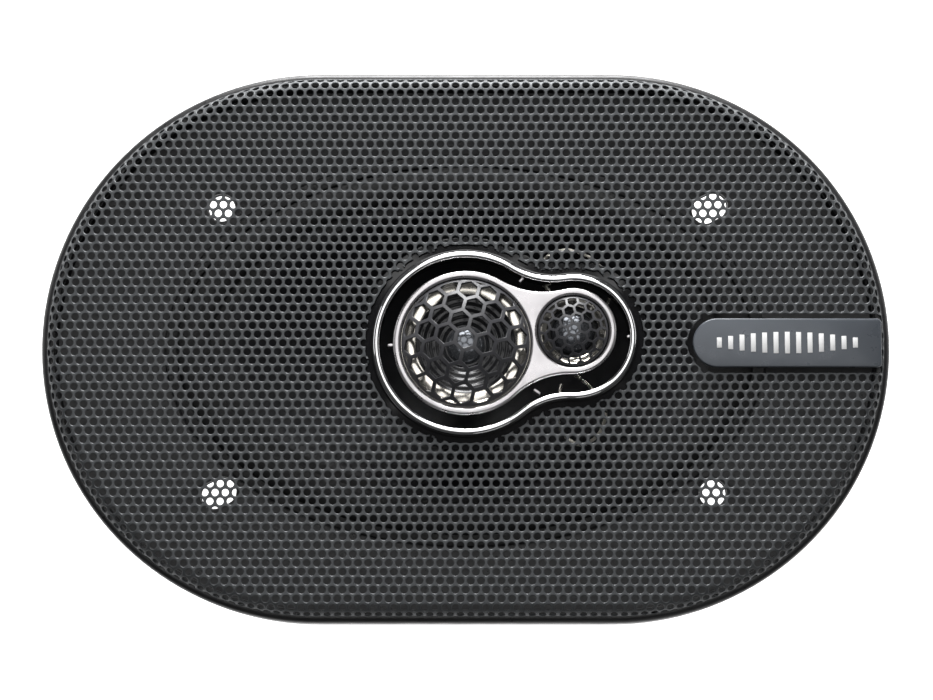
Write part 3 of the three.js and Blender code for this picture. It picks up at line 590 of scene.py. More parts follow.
def cell_field(name, pitch, hole_radius, hole_sides, reach_x, reach_y, rim=0.0):
    """One six-sided cell with its hole, repeated into a flat field about the origin. A rim rounds
    the hole's edge over that width."""
    deselect()
    bpy.ops.mesh.primitive_circle_add(vertices=6, radius=pitch / math.sqrt(3))
    field = bpy.context.object
    field.name = field.data.name = name
    bpy.ops.object.mode_set(mode="EDIT")
    bpy.ops.mesh.primitive_circle_add(vertices=hole_sides, radius=hole_radius + rim)
    bpy.ops.mesh.select_all(action="SELECT")
    bpy.ops.mesh.bridge_edge_loops()
    if rim:
        select_points(field, lambda co: co.xy.length < hole_radius + rim + FINE)
        bpy.ops.mesh.extrude_edges_move(TRANSFORM_OT_translate={"value": (0, 0, -rim * 0.7)})
        share = hole_radius / (hole_radius + rim)
        bpy.ops.transform.resize(value=(share, share, 1))
    row = pitch * math.sqrt(3) / 2
    bpy.ops.mesh.select_all(action="SELECT")
    bpy.ops.mesh.duplicate_move(TRANSFORM_OT_translate={"value": (pitch / 2, row, 0)})
    bpy.ops.object.mode_set(mode="OBJECT")
    columns = 2 * math.ceil(reach_x / pitch) + 2
    rows = 2 * math.ceil(reach_y / (2 * row)) + 2
    for count, step in ((columns, (pitch, 0, 0)), (rows, (0, 2 * row, 0))):
        apply_modifier(field, "ARRAY", count=count, use_relative_offset=False,
                       use_constant_offset=True, constant_offset_displace=step)
    field.data.transform(Matrix.Translation((-columns // 2 * pitch, -rows // 2 * 2 * row, 0)))
    tidy_normals(field)
    return field


def select_points(piece, test):
    """In edit mode, selects the points that pass the test and the edges between them."""
    bpy.ops.mesh.select_mode(type="VERT")
    bpy.ops.mesh.select_all(action="DESELECT")
    mesh = bmesh.from_edit_mesh(piece.data)
    for vert in mesh.verts:
        if test(vert.co):
            vert.select_set(True)
    mesh.select_flush_mode()
    bmesh.update_edit_mesh(piece.data)


def select_faces(piece, test):
    """In edit mode, selects only the faces that pass the test."""
    bpy.ops.mesh.select_mode(type="FACE")
    bpy.ops.mesh.select_all(action="DESELECT")
    mesh = bmesh.from_edit_mesh(piece.data)
    for face in mesh.faces:
        if test(face):
            face.select_set(True)
    bmesh.update_edit_mesh(piece.data)


def points_of(piece):
    flat = np.empty(len(piece.data.vertices) * 3)
    piece.data.vertices.foreach_get("co", flat)
    return flat.reshape(-1, 3)


def set_points(piece, points):
    piece.data.vertices.foreach_set("co", points.ravel())
    piece.data.update()


def against_outline(points, outline):
    """For each point, whether it is inside the outline, and the nearest point on it."""
    a = np.array(outline)
    b = np.roll(a, -1, 0)
    p = points[:, None, :2]
    edge = b - a
    share = np.clip(((p - a) * edge).sum(2) / (edge**2).sum(1), 0, 1)
    nearest = a + share[..., None] * edge
    distance = ((p - nearest) ** 2).sum(2)
    best = distance.argmin(1)
    crosses = (a[:, 1] > p[..., 1]) != (b[:, 1] > p[..., 1])
    rise = np.where(edge[:, 1] == 0, FINE, edge[:, 1])
    x_at = a[:, 0] + (p[..., 1] - a[:, 1]) / rise * edge[:, 0]
    inside = (crosses & (p[..., 0] < x_at)).sum(1) % 2 == 1
    return inside, nearest[np.arange(len(points)), best]


def trim_field(field, outline, keep_inside):
    """Drops what lies past the outline and pulls the cut faces' corners onto it."""
    points = points_of(field)
    inside, nearest = against_outline(points, outline)
    past = ~inside if keep_inside else inside
    make_active(field)
    bpy.ops.object.mode_set(mode="EDIT")
    select_faces(field, lambda face: all(past[v.index] for v in face.verts))
    bpy.ops.object.mode_set(mode="OBJECT")
    points[past, :2] = nearest[past]
    set_points(field, points)
    bpy.ops.object.mode_set(mode="EDIT")
    bpy.ops.mesh.delete(type="FACE")
    bpy.ops.mesh.select_mode(type="VERT")
    bpy.ops.mesh.select_all(action="SELECT")
    bpy.ops.mesh.remove_doubles(threshold=0.02 * MM)
    bpy.ops.mesh.quads_convert_to_tris()
    faces = bmesh.from_edit_mesh(field.data).faces
    up = sum(face.normal.z * face.calc_area() for face in faces)
    select_faces(field, lambda face: face.calc_area() < SLIVER or face.normal.z * up < 0)
    bpy.ops.mesh.delete(type="FACE")
    bpy.ops.mesh.select_mode(type="VERT")
    bpy.ops.mesh.select_all(action="SELECT")
    bpy.ops.mesh.delete_loose()
    bpy.ops.object.mode_set(mode="OBJECT")
    drop_crumbs(field)


def drop_crumbs(field):
    """Keeps the largest connected part and drops what trimming cut loose from it."""
    make_active(field)
    before = set(bpy.data.objects)
    bpy.ops.object.mode_set(mode="EDIT")
    bpy.ops.mesh.select_all(action="SELECT")
    bpy.ops.mesh.separate(type="LOOSE")
    bpy.ops.object.mode_set(mode="OBJECT")
    parts = [field, *(o for o in bpy.data.objects if o not in before)]
    largest = max(parts, key=lambda o: len(o.data.polygons))
    field.data, largest.data = largest.data, field.data
    for part in parts[1:]:
        bpy.data.objects.remove(part)


def split_field(field, pieces):
    """Parts the field into upright strips, so no piece is too heavy."""
    points = points_of(field)
    edges = np.linspace(points[:, 0].min(), points[:, 0].max(), pieces + 1)[1:-1]
    strips = [field]
    for edge in edges:
        make_active(strips[-1])
        bpy.ops.object.mode_set(mode="EDIT")
        select_faces(strips[-1], lambda face: face.calc_center_median().x > edge)
        before = set(bpy.data.objects)
        bpy.ops.mesh.separate(type="SELECTED")
        bpy.ops.object.mode_set(mode="OBJECT")
        strips.append(next(o for o in bpy.data.objects if o not in before))
    return strips


def roll_edge(points, roll, top):
    """Bends the flat field's margin down over a quarter round."""
    tangent = SHEET_INSET + roll
    spine = np.clip(points[:, 0], -STRAIGHT, STRAIGHT)
    away = np.stack([points[:, 0] - spine, points[:, 1]], 1)
    reach = np.linalg.norm(away, axis=1)
    past = np.clip(reach - (RIM_RADIUS - tangent), 0, None)
    angle = past / roll
    rolled = RIM_RADIUS - tangent + (roll + points[:, 2]) * np.sin(angle)
    new_reach = np.where(past > 0, rolled, reach)
    scale = new_reach / np.maximum(reach, FINE)
    moved = points.copy()
    moved[:, 0] = spine + away[:, 0] * scale
    moved[:, 1] = away[:, 1] * scale
    moved[:, 2] = top - roll + (roll + points[:, 2]) * np.cos(angle)
    return moved


def dome_height(node, radius):
    """Height of the domed grille's outer face above its edge, at a radius."""
    edge = half_width(node)
    rise = dome_rise(node)
    sphere = (edge**2 + rise**2) / (2 * rise)
    return np.sqrt(np.maximum(sphere**2 - radius**2, 0)) - (sphere - rise)


def dome_edge(node):
    return high("pod_bezel").z - 0.7 * MM


def dome_rise(node):
    return high(node).z - dome_edge(node)


def honeycomb(name, node, pitch, strut, turn, body, depth):
    """A domed honeycomb with a rim, moulded in one piece."""
    centre = middle(node)
    edge = half_width(node)
    field = cell_field(name, pitch, (pitch - strut) / math.sqrt(3), 6, edge, edge)
    field.data.transform(Matrix.Rotation(turn, 4, "Z"))
    trim_field(field, circle(edge - 0.4 * MM, steps=72), True)
    apply_modifier(field, "TRIANGULATE")
    points = points_of(field)
    points[:, 2] = dome_height(node, np.hypot(points[:, 0], points[:, 1]))
    set_points(field, points)
    tidy_normals(field)
    upward(field)
    thicken(field, depth)
    soften(field, 0.16 * MM, 1, 40)
    width, drop = 0.8 * MM, 0.9 * MM
    inner = edge - width
    rise = float(dome_height(node, inner))
    rim = turned("rim", [(edge, -drop), (edge, 0), (inner, rise), (inner, rise - drop)])
    soften(rim, 0.2 * MM)
    piece = join_into(field, rim)
    piece.data.transform(Matrix.Translation((centre.x, centre.y, dome_edge(node))))
    return finished(piece, body, honeycomb_plastic(), node, angle=30)


def upward(piece):
    """Turns an open sheet's faces so they look up."""
    normals = np.empty(len(piece.data.polygons) * 3)
    piece.data.polygons.foreach_get("normal", normals)
    if normals.reshape(-1, 3)[:, 2].mean() < 0:
        piece.data.flip_normals()


# ------------------------------------------------------------------ the operators


class Builder:
    bl_options = {"REGISTER", "UNDO"}


class SPEAKER_OT_perforated_sheet(Builder, bpy.types.Operator):
    """Perforated steel sheet with its rolled edge, its pod opening and its badge recess"""

    bl_idname = "speaker.perforated_sheet"
    bl_label = "Perforated Sheet"

    def execute(self, context):
        s = sizes()
        roll, top = s.sheet_roll, SHEET_HIGH.z
        fall = math.acos(1 - (top - SHEET_LOW.z) / roll) * roll
        spare = fall - roll - SHEET_INSET
        field = cell_field("grille_sheet_mesh", s.hole_pitch, s.hole_radius, 12,
                           RIM_HIGH.x + spare, RIM_HIGH.y + spare, s.hole_rim)
        trim_field(field, stadium(-spare), True)
        trim_field(field, ring_line(-2.6 * MM), False)
        trim_field(field, badge_line(1.8 * MM), False)
        set_points(field, roll_edge(points_of(field), roll, top))
        for i, strip in enumerate(split_field(field, 3)):
            upward(strip)
            thicken(strip, s.sheet_thickness, even=False)
            strip.name = strip.data.name = f"grille_sheet_{i + 1}"
            finished(strip, "grille", painted_sheet(), "grille_sheet", "grille_sheet_edge", angle=31)
        return {"FINISHED"}


class SPEAKER_OT_rim(Builder, bpy.types.Operator):
    """Moulded band round the grille"""

    bl_idname = "speaker.rim"
    bl_label = "Grille Rim"

    def execute(self, context):
        bottom, top = RIM_LOW.z, RIM_HIGH.z
        wall, lip, lip_depth, step = 2.5 * MM, 4.7 * MM, 1.8 * MM, 0.8 * MM
        crown, turns = 2.0 * MM, 8
        shoulder = [(crown - x, top - crown + z) for x, z in arc(0, 0, crown, 0, math.pi / 2, turns)]
        profile = [
            (step, bottom), (0, bottom + 3 * MM), *shoulder, (crown, top), (lip, top),
            (lip, top - lip_depth), (wall, top - lip_depth), (wall, bottom),
        ]
        rim = sweep("grille_rim_band", [at_height(stadium(inset), z) for inset, z in profile])
        soften(rim, 0.5 * MM, 2, 40)
        finished(rim, "grille", moulded_plastic(), "grille_rim")
        return {"FINISHED"}


class SPEAKER_OT_trim_ring(Builder, bpy.types.Operator):
    """Chrome figure-of-eight bead and the black seat that carries it"""

    bl_idname = "speaker.trim_ring"
    bl_label = "Trim Ring"

    def execute(self, context):
        base, top = low("trim_ring").z, high("trim_ring").z
        width = 2.4 * MM
        crown = 10
        loops = [at_height(ring_line(width), base), at_height(ring_line(0), base)]
        for i in range(crown + 1):
            angle = math.pi * i / crown
            inset = width / 2 * (1 - math.cos(angle))
            height = base + (top - base) * (0.3 + 0.7 * math.sin(angle) ** 0.6)
            loops.append(at_height(ring_line(inset), height))
        bead = sweep("chrome_ring", loops)
        finished(bead, "grille", chrome_plate(), "trim_ring", angle=60)
        seat_low, seat_top = low("trim_ring_seat").z, high("trim_ring_seat").z
        under = seat_top - 0.9 * MM
        profile = [
            (-5.2 * MM, under - 1.4 * MM), (-5.2 * MM, under), (-0.6 * MM, under),
            (-0.6 * MM, seat_top), (width, seat_top), (width, seat_low),
            (width - 1.4 * MM, seat_low), (width - 1.4 * MM, under - 1.4 * MM),
        ]
        seat = sweep("ring_collar", [at_height(ring_line(i), z) for i, z in profile])
        soften(seat, 0.25 * MM)
        finished(seat, "grille", gloss_plastic(), "trim_ring_seat")
        return {"FINISHED"}


class SPEAKER_OT_badge(Builder, bpy.types.Operator):
    """Badge plate with a plain mark of level bars"""

    bl_idname = "speaker.badge"
    bl_label = "Badge"

    def execute(self, context):
        lo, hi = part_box("badge_plate")
        plate = plug(badge_line(), lo.z, hi.z)
        plate.name = plate.data.name = "badge"
        soften(plate, 0.5 * MM, 3, 50)
        finished(plate, "grille", badge_lacquer(), "badge_plate")
        bars = []
        count, pitch, proud = 13, 3.9 * MM, 0.12 * MM
        for i in range(count):
            height = (3 + 4.5 * math.sin(math.pi * (i + 0.5) / count)) * MM
            x = (lo.x + hi.x) / 2 + (i - (count - 1) / 2) * pitch
            bars.append(block("bar", (1.7 * MM, height, 0.3 * MM), (x, 0, hi.z - 0.15 * MM + proud)))
        mark = join_into(*bars)
        mark.name = mark.data.name = "badge_mark"
        finished(mark, "grille", white_mark())
        return {"FINISHED"}


class SPEAKER_OT_pod(Builder, bpy.types.Operator):
    """Pod housing, its satin bezel and its post"""

    bl_idname = "speaker.pod"
    bl_label = "Pod"

    def execute(self, context):
        self.bezel()
        self.housing()
        self.post()
        return {"FINISHED"}

    def bezel(self):
        bottom, top = low("pod_bezel").z, high("pod_bezel").z
        plate = plug(pod_line(), bottom, top)
        plate.name = plate.data.name = "pod_bezel_plate"
        slack = 2 * MM
        bore_mid = half_width("midrange_grille") + 0.3 * MM
        bore_tweeter = half_width("tweeter_grille") + 0.3 * MM
        cut_away(plate, plug(circle(bore_mid), bottom - slack, top + slack),
                 plug(circle(bore_tweeter, TWEETER.x, TWEETER.y), bottom - slack, top + slack))
        soften(plate, 1.0 * MM, 5, 50)
        finished(plate, "chassis", satin_plate(), "pod_bezel")

    def housing(self):
        bottom, top = low("pod_housing").z, high("pod_housing").z
        skin, wall = 0.9 * MM, 1.8 * MM
        taper = 1.2 * MM
        loops = [
            at_height(pod_line(skin + taper), bottom), at_height(pod_line(skin), bottom + 3 * MM),
            at_height(pod_line(skin), top), at_height(pod_line(skin + wall), top),
            at_height(pod_line(skin + wall), bottom + wall),
        ]
        shell = sweep("pod_shell", loops, False, True)
        soften(shell, 0.3 * MM)
        ticks = []
        tick_size, tick_depth = (2.6 * MM, 0.9 * MM, 6 * MM), 4 * MM
        small_lobe, small_side = 37.3, 40  # a rib past small_side points at the small lobe
        for x, y in ((19.5, 22.6), (24.6, -16.6), (57.0, 2.6), (-25.6, -0.5)):
            turn = math.atan2(y, x - (small_lobe if x > small_side else 0))
            ticks.append(block("tick", tick_size, (x * MM, y * MM, top - tick_depth), turn))
        finished(shell, "chassis", gloss_plastic(), "pod_housing")
        ribs = join_into(*ticks)
        ribs.name = ribs.data.name = "pod_ribs"
        finished(ribs, "chassis", satin_plate())

    def post(self):
        bottom, top = low("pod_post").z, high("pod_post").z
        shoulder = high("back_plate_and_pole").z
        foot, neck, stud = half_width("pod_post"), 6 * MM, 3 * MM
        profile = [
            (stud, bottom), (stud, shoulder), (neck, shoulder), (neck * 0.9, (shoulder + top) / 2),
            (neck, top - 6 * MM), (foot * 0.8, top - 2 * MM), (foot, top),
        ]
        piece = turned("centre_post", profile, steps=64, closed=False, caps=True)
        soften(piece, 0.3 * MM, 2, 50)
        finished(piece, "chassis", moulded_plastic(), "pod_post")


class SPEAKER_OT_guards(Builder, bpy.types.Operator):
    """Honeycomb grilles over the midrange and the tweeter"""

    bl_idname = "speaker.guards"
    bl_label = "Honeycomb Grilles"

    def execute(self, context):
        s = sizes()
        honeycomb("midrange_honeycomb", "midrange_grille", s.midrange_cell, s.midrange_strut,
                  math.radians(-14), "chassis", 0.8 * MM)
        honeycomb("tweeter_honeycomb", "tweeter_grille", s.tweeter_cell, s.tweeter_strut,
                  math.radians(13), "chassis", 0.55 * MM)
        return {"FINISHED"}


class SPEAKER_OT_small_drivers(Builder, bpy.types.Operator):
    """Reflector rings, ribbed midrange cone, dust cap and tweeter dome"""

    bl_idname = "speaker.small_drivers"
    bl_label = "Small Drivers"

    def execute(self, context):
        for node, slope in (("midrange_reflector", 5.0 * MM), ("tweeter_reflector", 3.2 * MM)):
            lo, hi, outer, at = low(node), high(node), half_width(node), middle(node)
            edge = 0.6 * MM
            profile = [(outer - slope, lo.z), (outer, lo.z), (outer, hi.z), (outer - edge, hi.z)]
            for i in range(1, 6):
                share = i / 6
                radius = outer - edge - (slope - edge) * share
                profile.append((radius, hi.z - (hi.z - lo.z) * math.sqrt(share) * 0.95))
            piece = turned(node + "_bowl", profile, at.x, at.y)
            finished(piece, "chassis", reflector_plate(), node, angle=50)
        self.cone()
        for node, name, body in (("midrange_cap", "midrange_dust_cap", "midrange_moving"),
                                 ("tweeter_dome", "tweeter_diaphragm", "tweeter_moving")):
            self.cap(node, name, body)
        return {"FINISHED"}

    def cone(self):
        lo, hi = low("midrange_cone").z, high("midrange_cone").z
        neck, edge, thick = 5.5 * MM, half_width("midrange_cone"), 0.4 * MM
        ribs = sizes().rib_count
        steps = ribs * 6
        outer = []
        for i in range(steps + 1):
            share = i / steps
            ripple = 0.22 * MM * math.sin(share * ribs * 2 * math.pi)
            radius = neck + (edge - neck) * share
            outer.append((radius, lo + thick + 0.2 * MM + (hi - lo - 2 * thick) * share + ripple))
        inner = [(r, z - thick) for r, z in reversed(outer)]
        piece = turned("midrange_ribbed_cone", outer + inner, steps=80)
        finished(piece, "midrange_moving", coated_pulp(), "midrange_cone", angle=60)

    def cap(self, node, name, body):
        lo, hi, edge, at = low(node).z, high(node).z, half_width(node), middle(node)
        steps = 10
        profile = []
        for i in range(steps + 1):
            angle = math.pi / 2 * i / steps
            reach = max(edge * math.cos(angle), 0.05 * MM)
            profile.append((reach, lo + (hi - lo) * math.sin(angle)))
        piece = turned(name, profile, at.x, at.y, 64, False, True)
        finished(piece, body, coated_film(), node, angle=60)


class SPEAKER_OT_motor(Builder, bpy.types.Operator):
    """Rubber boot and front plate of the magnet"""

    bl_idname = "speaker.motor"
    bl_label = "Motor"

    def execute(self, context):
        outer, bottom, top = half_width("magnet_boot"), low("magnet_boot").z, high("magnet_boot").z
        inner, floor, window = half_width("magnet") + 0.3 * MM, low("back_plate_and_pole").z, 13 * MM
        groove, groove_depth = 2.4 * MM, 0.8 * MM
        profile = [
            (window, bottom), (outer - 1.5 * MM, bottom), (outer, bottom + 1.5 * MM),
            (outer, top - 3 * groove), (outer - groove_depth, top - 2.6 * groove),
            (outer - groove_depth, top - 1.9 * groove), (outer, top - 1.5 * groove),
            (outer, top), (inner, top), (inner, floor - FINE), (window, floor - FINE),
        ]
        boot = turned("rubber_boot", profile, steps=128)
        soften(boot, 0.5 * MM, 3, 30)
        finished(boot, "chassis", rubber(), "magnet_boot")
        radius, low_z, high_z = half_width("top_plate"), low("top_plate").z, high("top_plate").z
        bore = 14.45 * MM
        section = [(bore, low_z), (radius, low_z), (radius, high_z), (bore, high_z)]
        plate = turned("front_plate", section, steps=128)
        soften(plate, 0.6 * MM, 2)
        finished(plate, "chassis", zinc_steel(), "top_plate")
        return {"FINISHED"}


def basket_stretch(short):
    """How much longer than wide, each side, the basket is where it has this half width."""
    return OVAL_STRETCH * min(max((short - BASKET_LEDGE) / (BASKET_TOP - BASKET_LEDGE), 0), 1)


def basket_oval(short):
    """The basket's outline is round at the ledge and oval at the flange."""
    rim = min(max((short - FLANGE_START) / (high("basket").y - FLANGE_START), 0), 1)
    return oval(short, basket_stretch(short), 2 + 0.4 * rim)


def slots(bottom, top, radius):
    """Cutters for the two round and two slotted screw holes."""
    made = []
    for x, y in ((1, 1), (-1, 1), (-1, -1), (1, -1)):
        slotted = x * y > 0
        half = 1.65 * MM if slotted else 0
        turn = Matrix.Rotation(math.radians(28) if slotted else 0, 2)
        outline = arc(half, 0, radius, -math.pi / 2, math.pi / 2, 16)
        outline += arc(-half, 0, radius, math.pi / 2, 3 * math.pi / 2, 16)
        moved = [turn @ Vector(p) + Vector((x * SCREW_X, y * SCREW_Y)) for p in outline]
        made.append(plug([tuple(p) for p in moved], bottom, top))
    return made


class SPEAKER_OT_basket(Builder, bpy.types.Operator):
    """Pressed steel basket with its windows and screw slots"""

    bl_idname = "speaker.basket"
    bl_label = "Basket"

    def execute(self, context):
        floor, top = low("basket").z, high("basket").z
        sheet = 1.2 * MM
        ledge = floor + 8 * MM
        flange = high("basket").y
        profile = [(20, floor), (39.5, floor), (40.6, floor + 1.2 * MM), (43.2, ledge - 0.6 * MM),
                   (44.4, ledge), (48.4, ledge), (49.6, ledge + 1.2 * MM)]
        steps = 14
        start, end, height = 50.7, 64.4, top - sheet - ledge
        for i in range(steps + 1):
            share = i / steps
            profile.append((start + (end - start) * share, ledge + height * (0.09 + 0.85 * share)))
        profile += [(66.2, top - sheet), (68, top - sheet), (flange / MM - 1.2, top - sheet)]
        shell = sweep("pressed_basket", [at_height(basket_oval(r * MM), z) for r, z in profile], False)
        self.open_windows(shell, ledge + 6.5 * MM, top - 4.8 * MM)
        upward(shell)
        thicken(shell, sheet, 1.0)
        cut_away(shell, *slots(top - 3 * MM, top + 2 * MM, 4.6 * MM))
        soften(shell, 0.25 * MM, 2, 40)
        tab = block("tab", (28 * MM, 19 * MM, sheet), (0, -56.5 * MM, ledge + sheet / 2))
        finished(join_into(shell, tab), "chassis", black_steel(), "basket")
        return {"FINISHED"}

    def open_windows(self, shell, bottom, top):
        """Deletes the faces between the eight spokes."""
        make_active(shell)
        bpy.ops.object.mode_set(mode="EDIT")
        select_faces(shell, lambda face: self.in_window(face.calc_center_median(), bottom, top))
        bpy.ops.mesh.delete(type="FACE")
        bpy.ops.mesh.select_mode(type="VERT")
        bpy.ops.object.mode_set(mode="OBJECT")

    def in_window(self, at, bottom, top):
        """Whether a point of the funnel lies between two spokes."""
        if not bottom < at.z < top:
            return False
        short, long = self.half_axes(at)
        angle = math.degrees(math.atan2(at.y / short, at.x / long))
        return abs((angle % SPOKE_PITCH) - SPOKE_PITCH / 2) < WINDOW_REACH

    def half_axes(self, at):
        """The oval that passes through a point of the funnel, found by halving."""
        inner, outer = BASKET_LEDGE, FLANGE_START
        for _ in range(30):
            short = (inner + outer) / 2
            long = short + basket_stretch(short)
            if (at.x / long) ** 2 + (at.y / short) ** 2 > 1:
                inner = short
            else:
                outer = short
        return short, long


class SPEAKER_OT_base(Builder, bpy.types.Operator):
    """Plastic base ring under the grille, its clips and the foam gasket"""

    bl_idname = "speaker.base"
    bl_label = "Grille Base"

    def execute(self, context):
        bottom, top = low("grille_base").z, high("basket").z + 2 * MM
        lip_top = top + 5 * MM
        flange = high("basket").z
        inset, lip = 2.8 * MM, 1.6 * MM
        steps = 160
        pocket = oval(high("basket").y + 0.3 * MM, squareness=2.4, steps=steps)
        opening = oval(high("flange_gasket").y + 0.3 * MM, steps=steps)
        outside, inside = stadium(inset), stadium(inset + lip)
        section = [
            (outside, bottom), (outside, lip_top), (inside, lip_top), (inside, top),
            (opening, top), (opening, flange), (pocket, flange), (pocket, bottom),
        ]
        base = sweep("base_ring", [at_height(match(line, steps), z) for line, z in section])
        cut_away(base, *slots(bottom - MM, top + MM, 4.9 * MM))
        soften(base, 0.25 * MM, 2, 40)
        clips, clip_size, clip_z = [], (12 * MM, 1.5 * MM, 4.5 * MM), lip_top + 1.7 * MM
        for x, y, turn in self.clip_places(inset + 0.95 * MM):
            clips.append(block("clip", clip_size, (x, y, clip_z), turn))
        finished(join_into(base, *clips), "chassis", moulded_plastic(), "grille_base")
        lo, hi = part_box("flange_gasket")
        inner = hi.y - 3.9 * MM
        section = [(hi.y, lo.z), (hi.y, hi.z), (inner, hi.z), (inner, lo.z)]
        gasket = sweep("foam_gasket", [at_height(oval(r), z) for r, z in section])
        soften(gasket, 0.5 * MM, 2)
        finished(gasket, "chassis", foam(), "flange_gasket")
        return {"FINISHED"}

    def clip_places(self, inset):
        side = RIM_RADIUS - inset
        span = 2 * (STRAIGHT - 12 * MM)
        places = [(x * span / 2, y * side, 0) for x in (1, -1) for y in (1, -1)]
        end = RIM_HIGH.x - inset - 0.4 * MM
        return [*places, (end, 0, math.pi / 2), (-end, 0, math.pi / 2)]


def match(outline, count):
    """The outline's points at even angles about the centre, so loops of any shape pair up."""
    corners = np.array([*outline, outline[0]])
    ends = np.concatenate([np.linspace(a, b, 40, endpoint=False) for a, b in zip(corners, corners[1:])])
    angles = np.unwrap(np.arctan2(ends[:, 1], ends[:, 0]))
    radii = np.hypot(ends[:, 0], ends[:, 1])
    order = np.argsort(angles)
    wanted = np.arange(count) * 2 * math.pi / count
    level = np.interp(wanted, angles[order], radii[order], period=2 * math.pi)
    return [(r * math.cos(a), r * math.sin(a)) for r, a in zip(level.tolist(), wanted.tolist())]


class SPEAKER_OT_cone(Builder, bpy.types.Operator):
    """Woofer cone, its rubber surround and its corrugated spider"""

    bl_idname = "speaker.cone"
    bl_label = "Cone and Suspension"

    def execute(self, context):
        self.cone()
        self.surround()
        self.spider()
        return {"FINISHED"}

    def cone(self):
        lo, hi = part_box("cone")
        neck, edge = 13.25 * MM, hi.y
        lip, thick = 4.2 * MM, 0.7 * MM
        steps = 18
        outer = []
        for i in range(steps + 1):
            share = i / steps
            sag = 1.2 * MM * math.sin(math.pi * share)
            radius = neck + (edge - lip - neck) * share
            outer.append((radius, lo.z + thick + (hi.z - lo.z - thick) * share - sag))
        outer.append((edge, hi.z))
        inner = [(r + thick / 2, z - thick) for r, z in reversed(outer[1:-1])]
        profile = [*outer, (edge, hi.z - thick), *inner, (neck, lo.z)]
        loops = []
        for r, z in profile:
            share = min(max((r - neck) / (edge - neck), 0), 1)
            loops.append(at_height(oval(r, OVAL_STRETCH * share), z))
        finished(sweep("woofer_cone_shell", loops), "woofer_cone", cone_pulp(), "cone", angle=60)

    def surround(self):
        lo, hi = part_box("surround")
        outer_edge, base = hi.y, lo.z + 0.4 * MM
        lip, width = 4.2 * MM, 11 * MM
        outer, inner = outer_edge - lip, outer_edge - lip - width
        rise = hi.z - base - 0.4 * MM
        steps = 14
        profile = [(outer_edge, base), (outer + 0.6 * MM, base)]
        for i in range(steps + 1):
            angle = math.pi * i / steps
            radius = (outer + inner) / 2 + width / 2 * math.cos(angle)
            profile.append((radius, base + rise * math.sin(angle)))
        profile += [(inner - 0.6 * MM, base), (inner - lip, base)]
        roll = sweep("rubber_surround", [at_height(oval(r), z) for r, z in profile], False)
        upward(roll)
        thicken(roll, 0.8 * MM, 0.0)
        finished(roll, None, rubber(), "surround", angle=50)
        self.follow(roll, inner, outer, OVAL_STRETCH)

    def spider(self):
        lo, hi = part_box("spider")
        inner, ledge, outer = 13.4 * MM, 41.5 * MM, hi.y
        rolls, steps = 6, 72
        mid, wave = (lo.z + hi.z) / 2, (hi.z - lo.z) / 2 - 0.3 * MM
        profile = [(inner, mid)]
        for i in range(steps + 1):
            share = i / steps
            radius = inner + 2 * MM + (ledge - inner - 2 * MM) * share
            profile.append((radius, mid + wave * math.sin(share * rolls * 2 * math.pi)))
        profile.append((outer, mid))
        cloth = turned("corrugated_spider", profile, closed=False)
        upward(cloth)
        thicken(cloth, 0.5 * MM, 0.0)
        finished(cloth, None, spider_cloth(), "spider", angle=60)
        self.follow(cloth, inner + 2 * MM, ledge, 0)

    def follow(self, piece, inner, outer, stretch):
        """Bakes the piece's placement into its points and finds the oval through each point; nothing is
        done with what it finds.
        """
        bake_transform(piece)
        points = points_of(piece)
        x, y = np.abs(points[:, 0]), np.abs(points[:, 1])
        small, large = np.zeros(len(points)), np.full(len(points), 2 * outer)
        for _ in range(30):
            short = (small + large) / 2
            beyond = (x / (short + stretch)) ** 2 + (y / short) ** 2 > 1
            small, large = np.where(beyond, short, small), np.where(beyond, large, short)


# The leads' routes are the same points as in the frame, in millimetres.
LEAD_RADIUS = 0.7
POD_FLOOR = low("pod_housing").z / MM
LEDGE = high("terminal_board").z / MM
LOBE_X, LOBE_Y = TWEETER.x / MM, TWEETER.y / MM
CROSS_Y, CROSS_Z = 53.1, LEDGE + 13.5  # where the cone's leads pass through the basket
NECK_Y, NECK_Z = 27, LEDGE + 18.4
LEADS = {
    "pod_lead_upper": [
        (LOBE_X - 7.5, LOBE_Y + 15.1, POD_FLOOR + 3), (LOBE_X - 11.4, LOBE_Y + 20.4, POD_FLOOR + 5),
        (LOBE_X - 9.1, LOBE_Y + 26.9, POD_FLOOR + 6.5), (LOBE_X - 1.1, LOBE_Y + 29.4, POD_FLOOR + 7),
        (LOBE_X + 8.9, LOBE_Y + 24.9, POD_FLOOR + 6), (LOBE_X + 13.9, LOBE_Y + 14.9, POD_FLOOR + 1),
        (LOBE_X + 2.9, LOBE_Y + 2.9, POD_FLOOR - 9), (20, 2.5, POD_FLOOR - 12),
        (7, 1, POD_FLOOR - 10)],
    "pod_lead_lower": [
        (LOBE_X - 3.9, LOBE_Y - 17.1, POD_FLOOR + 3), (LOBE_X - 5.2, LOBE_Y - 28.1, POD_FLOOR + 5),
        (LOBE_X - 3.1, LOBE_Y - 35.1, POD_FLOOR + 6.5), (LOBE_X + 2.9, LOBE_Y - 38.6, POD_FLOOR + 7),
        (LOBE_X + 9.4, LOBE_Y - 34.1, POD_FLOOR + 6), (LOBE_X + 10.9, LOBE_Y - 24.1, POD_FLOOR + 1),
        (LOBE_X + 0.9, LOBE_Y - 12.1, POD_FLOOR - 10), (20, -3, POD_FLOOR - 15),
        (7, -1, POD_FLOOR - 14)],
}
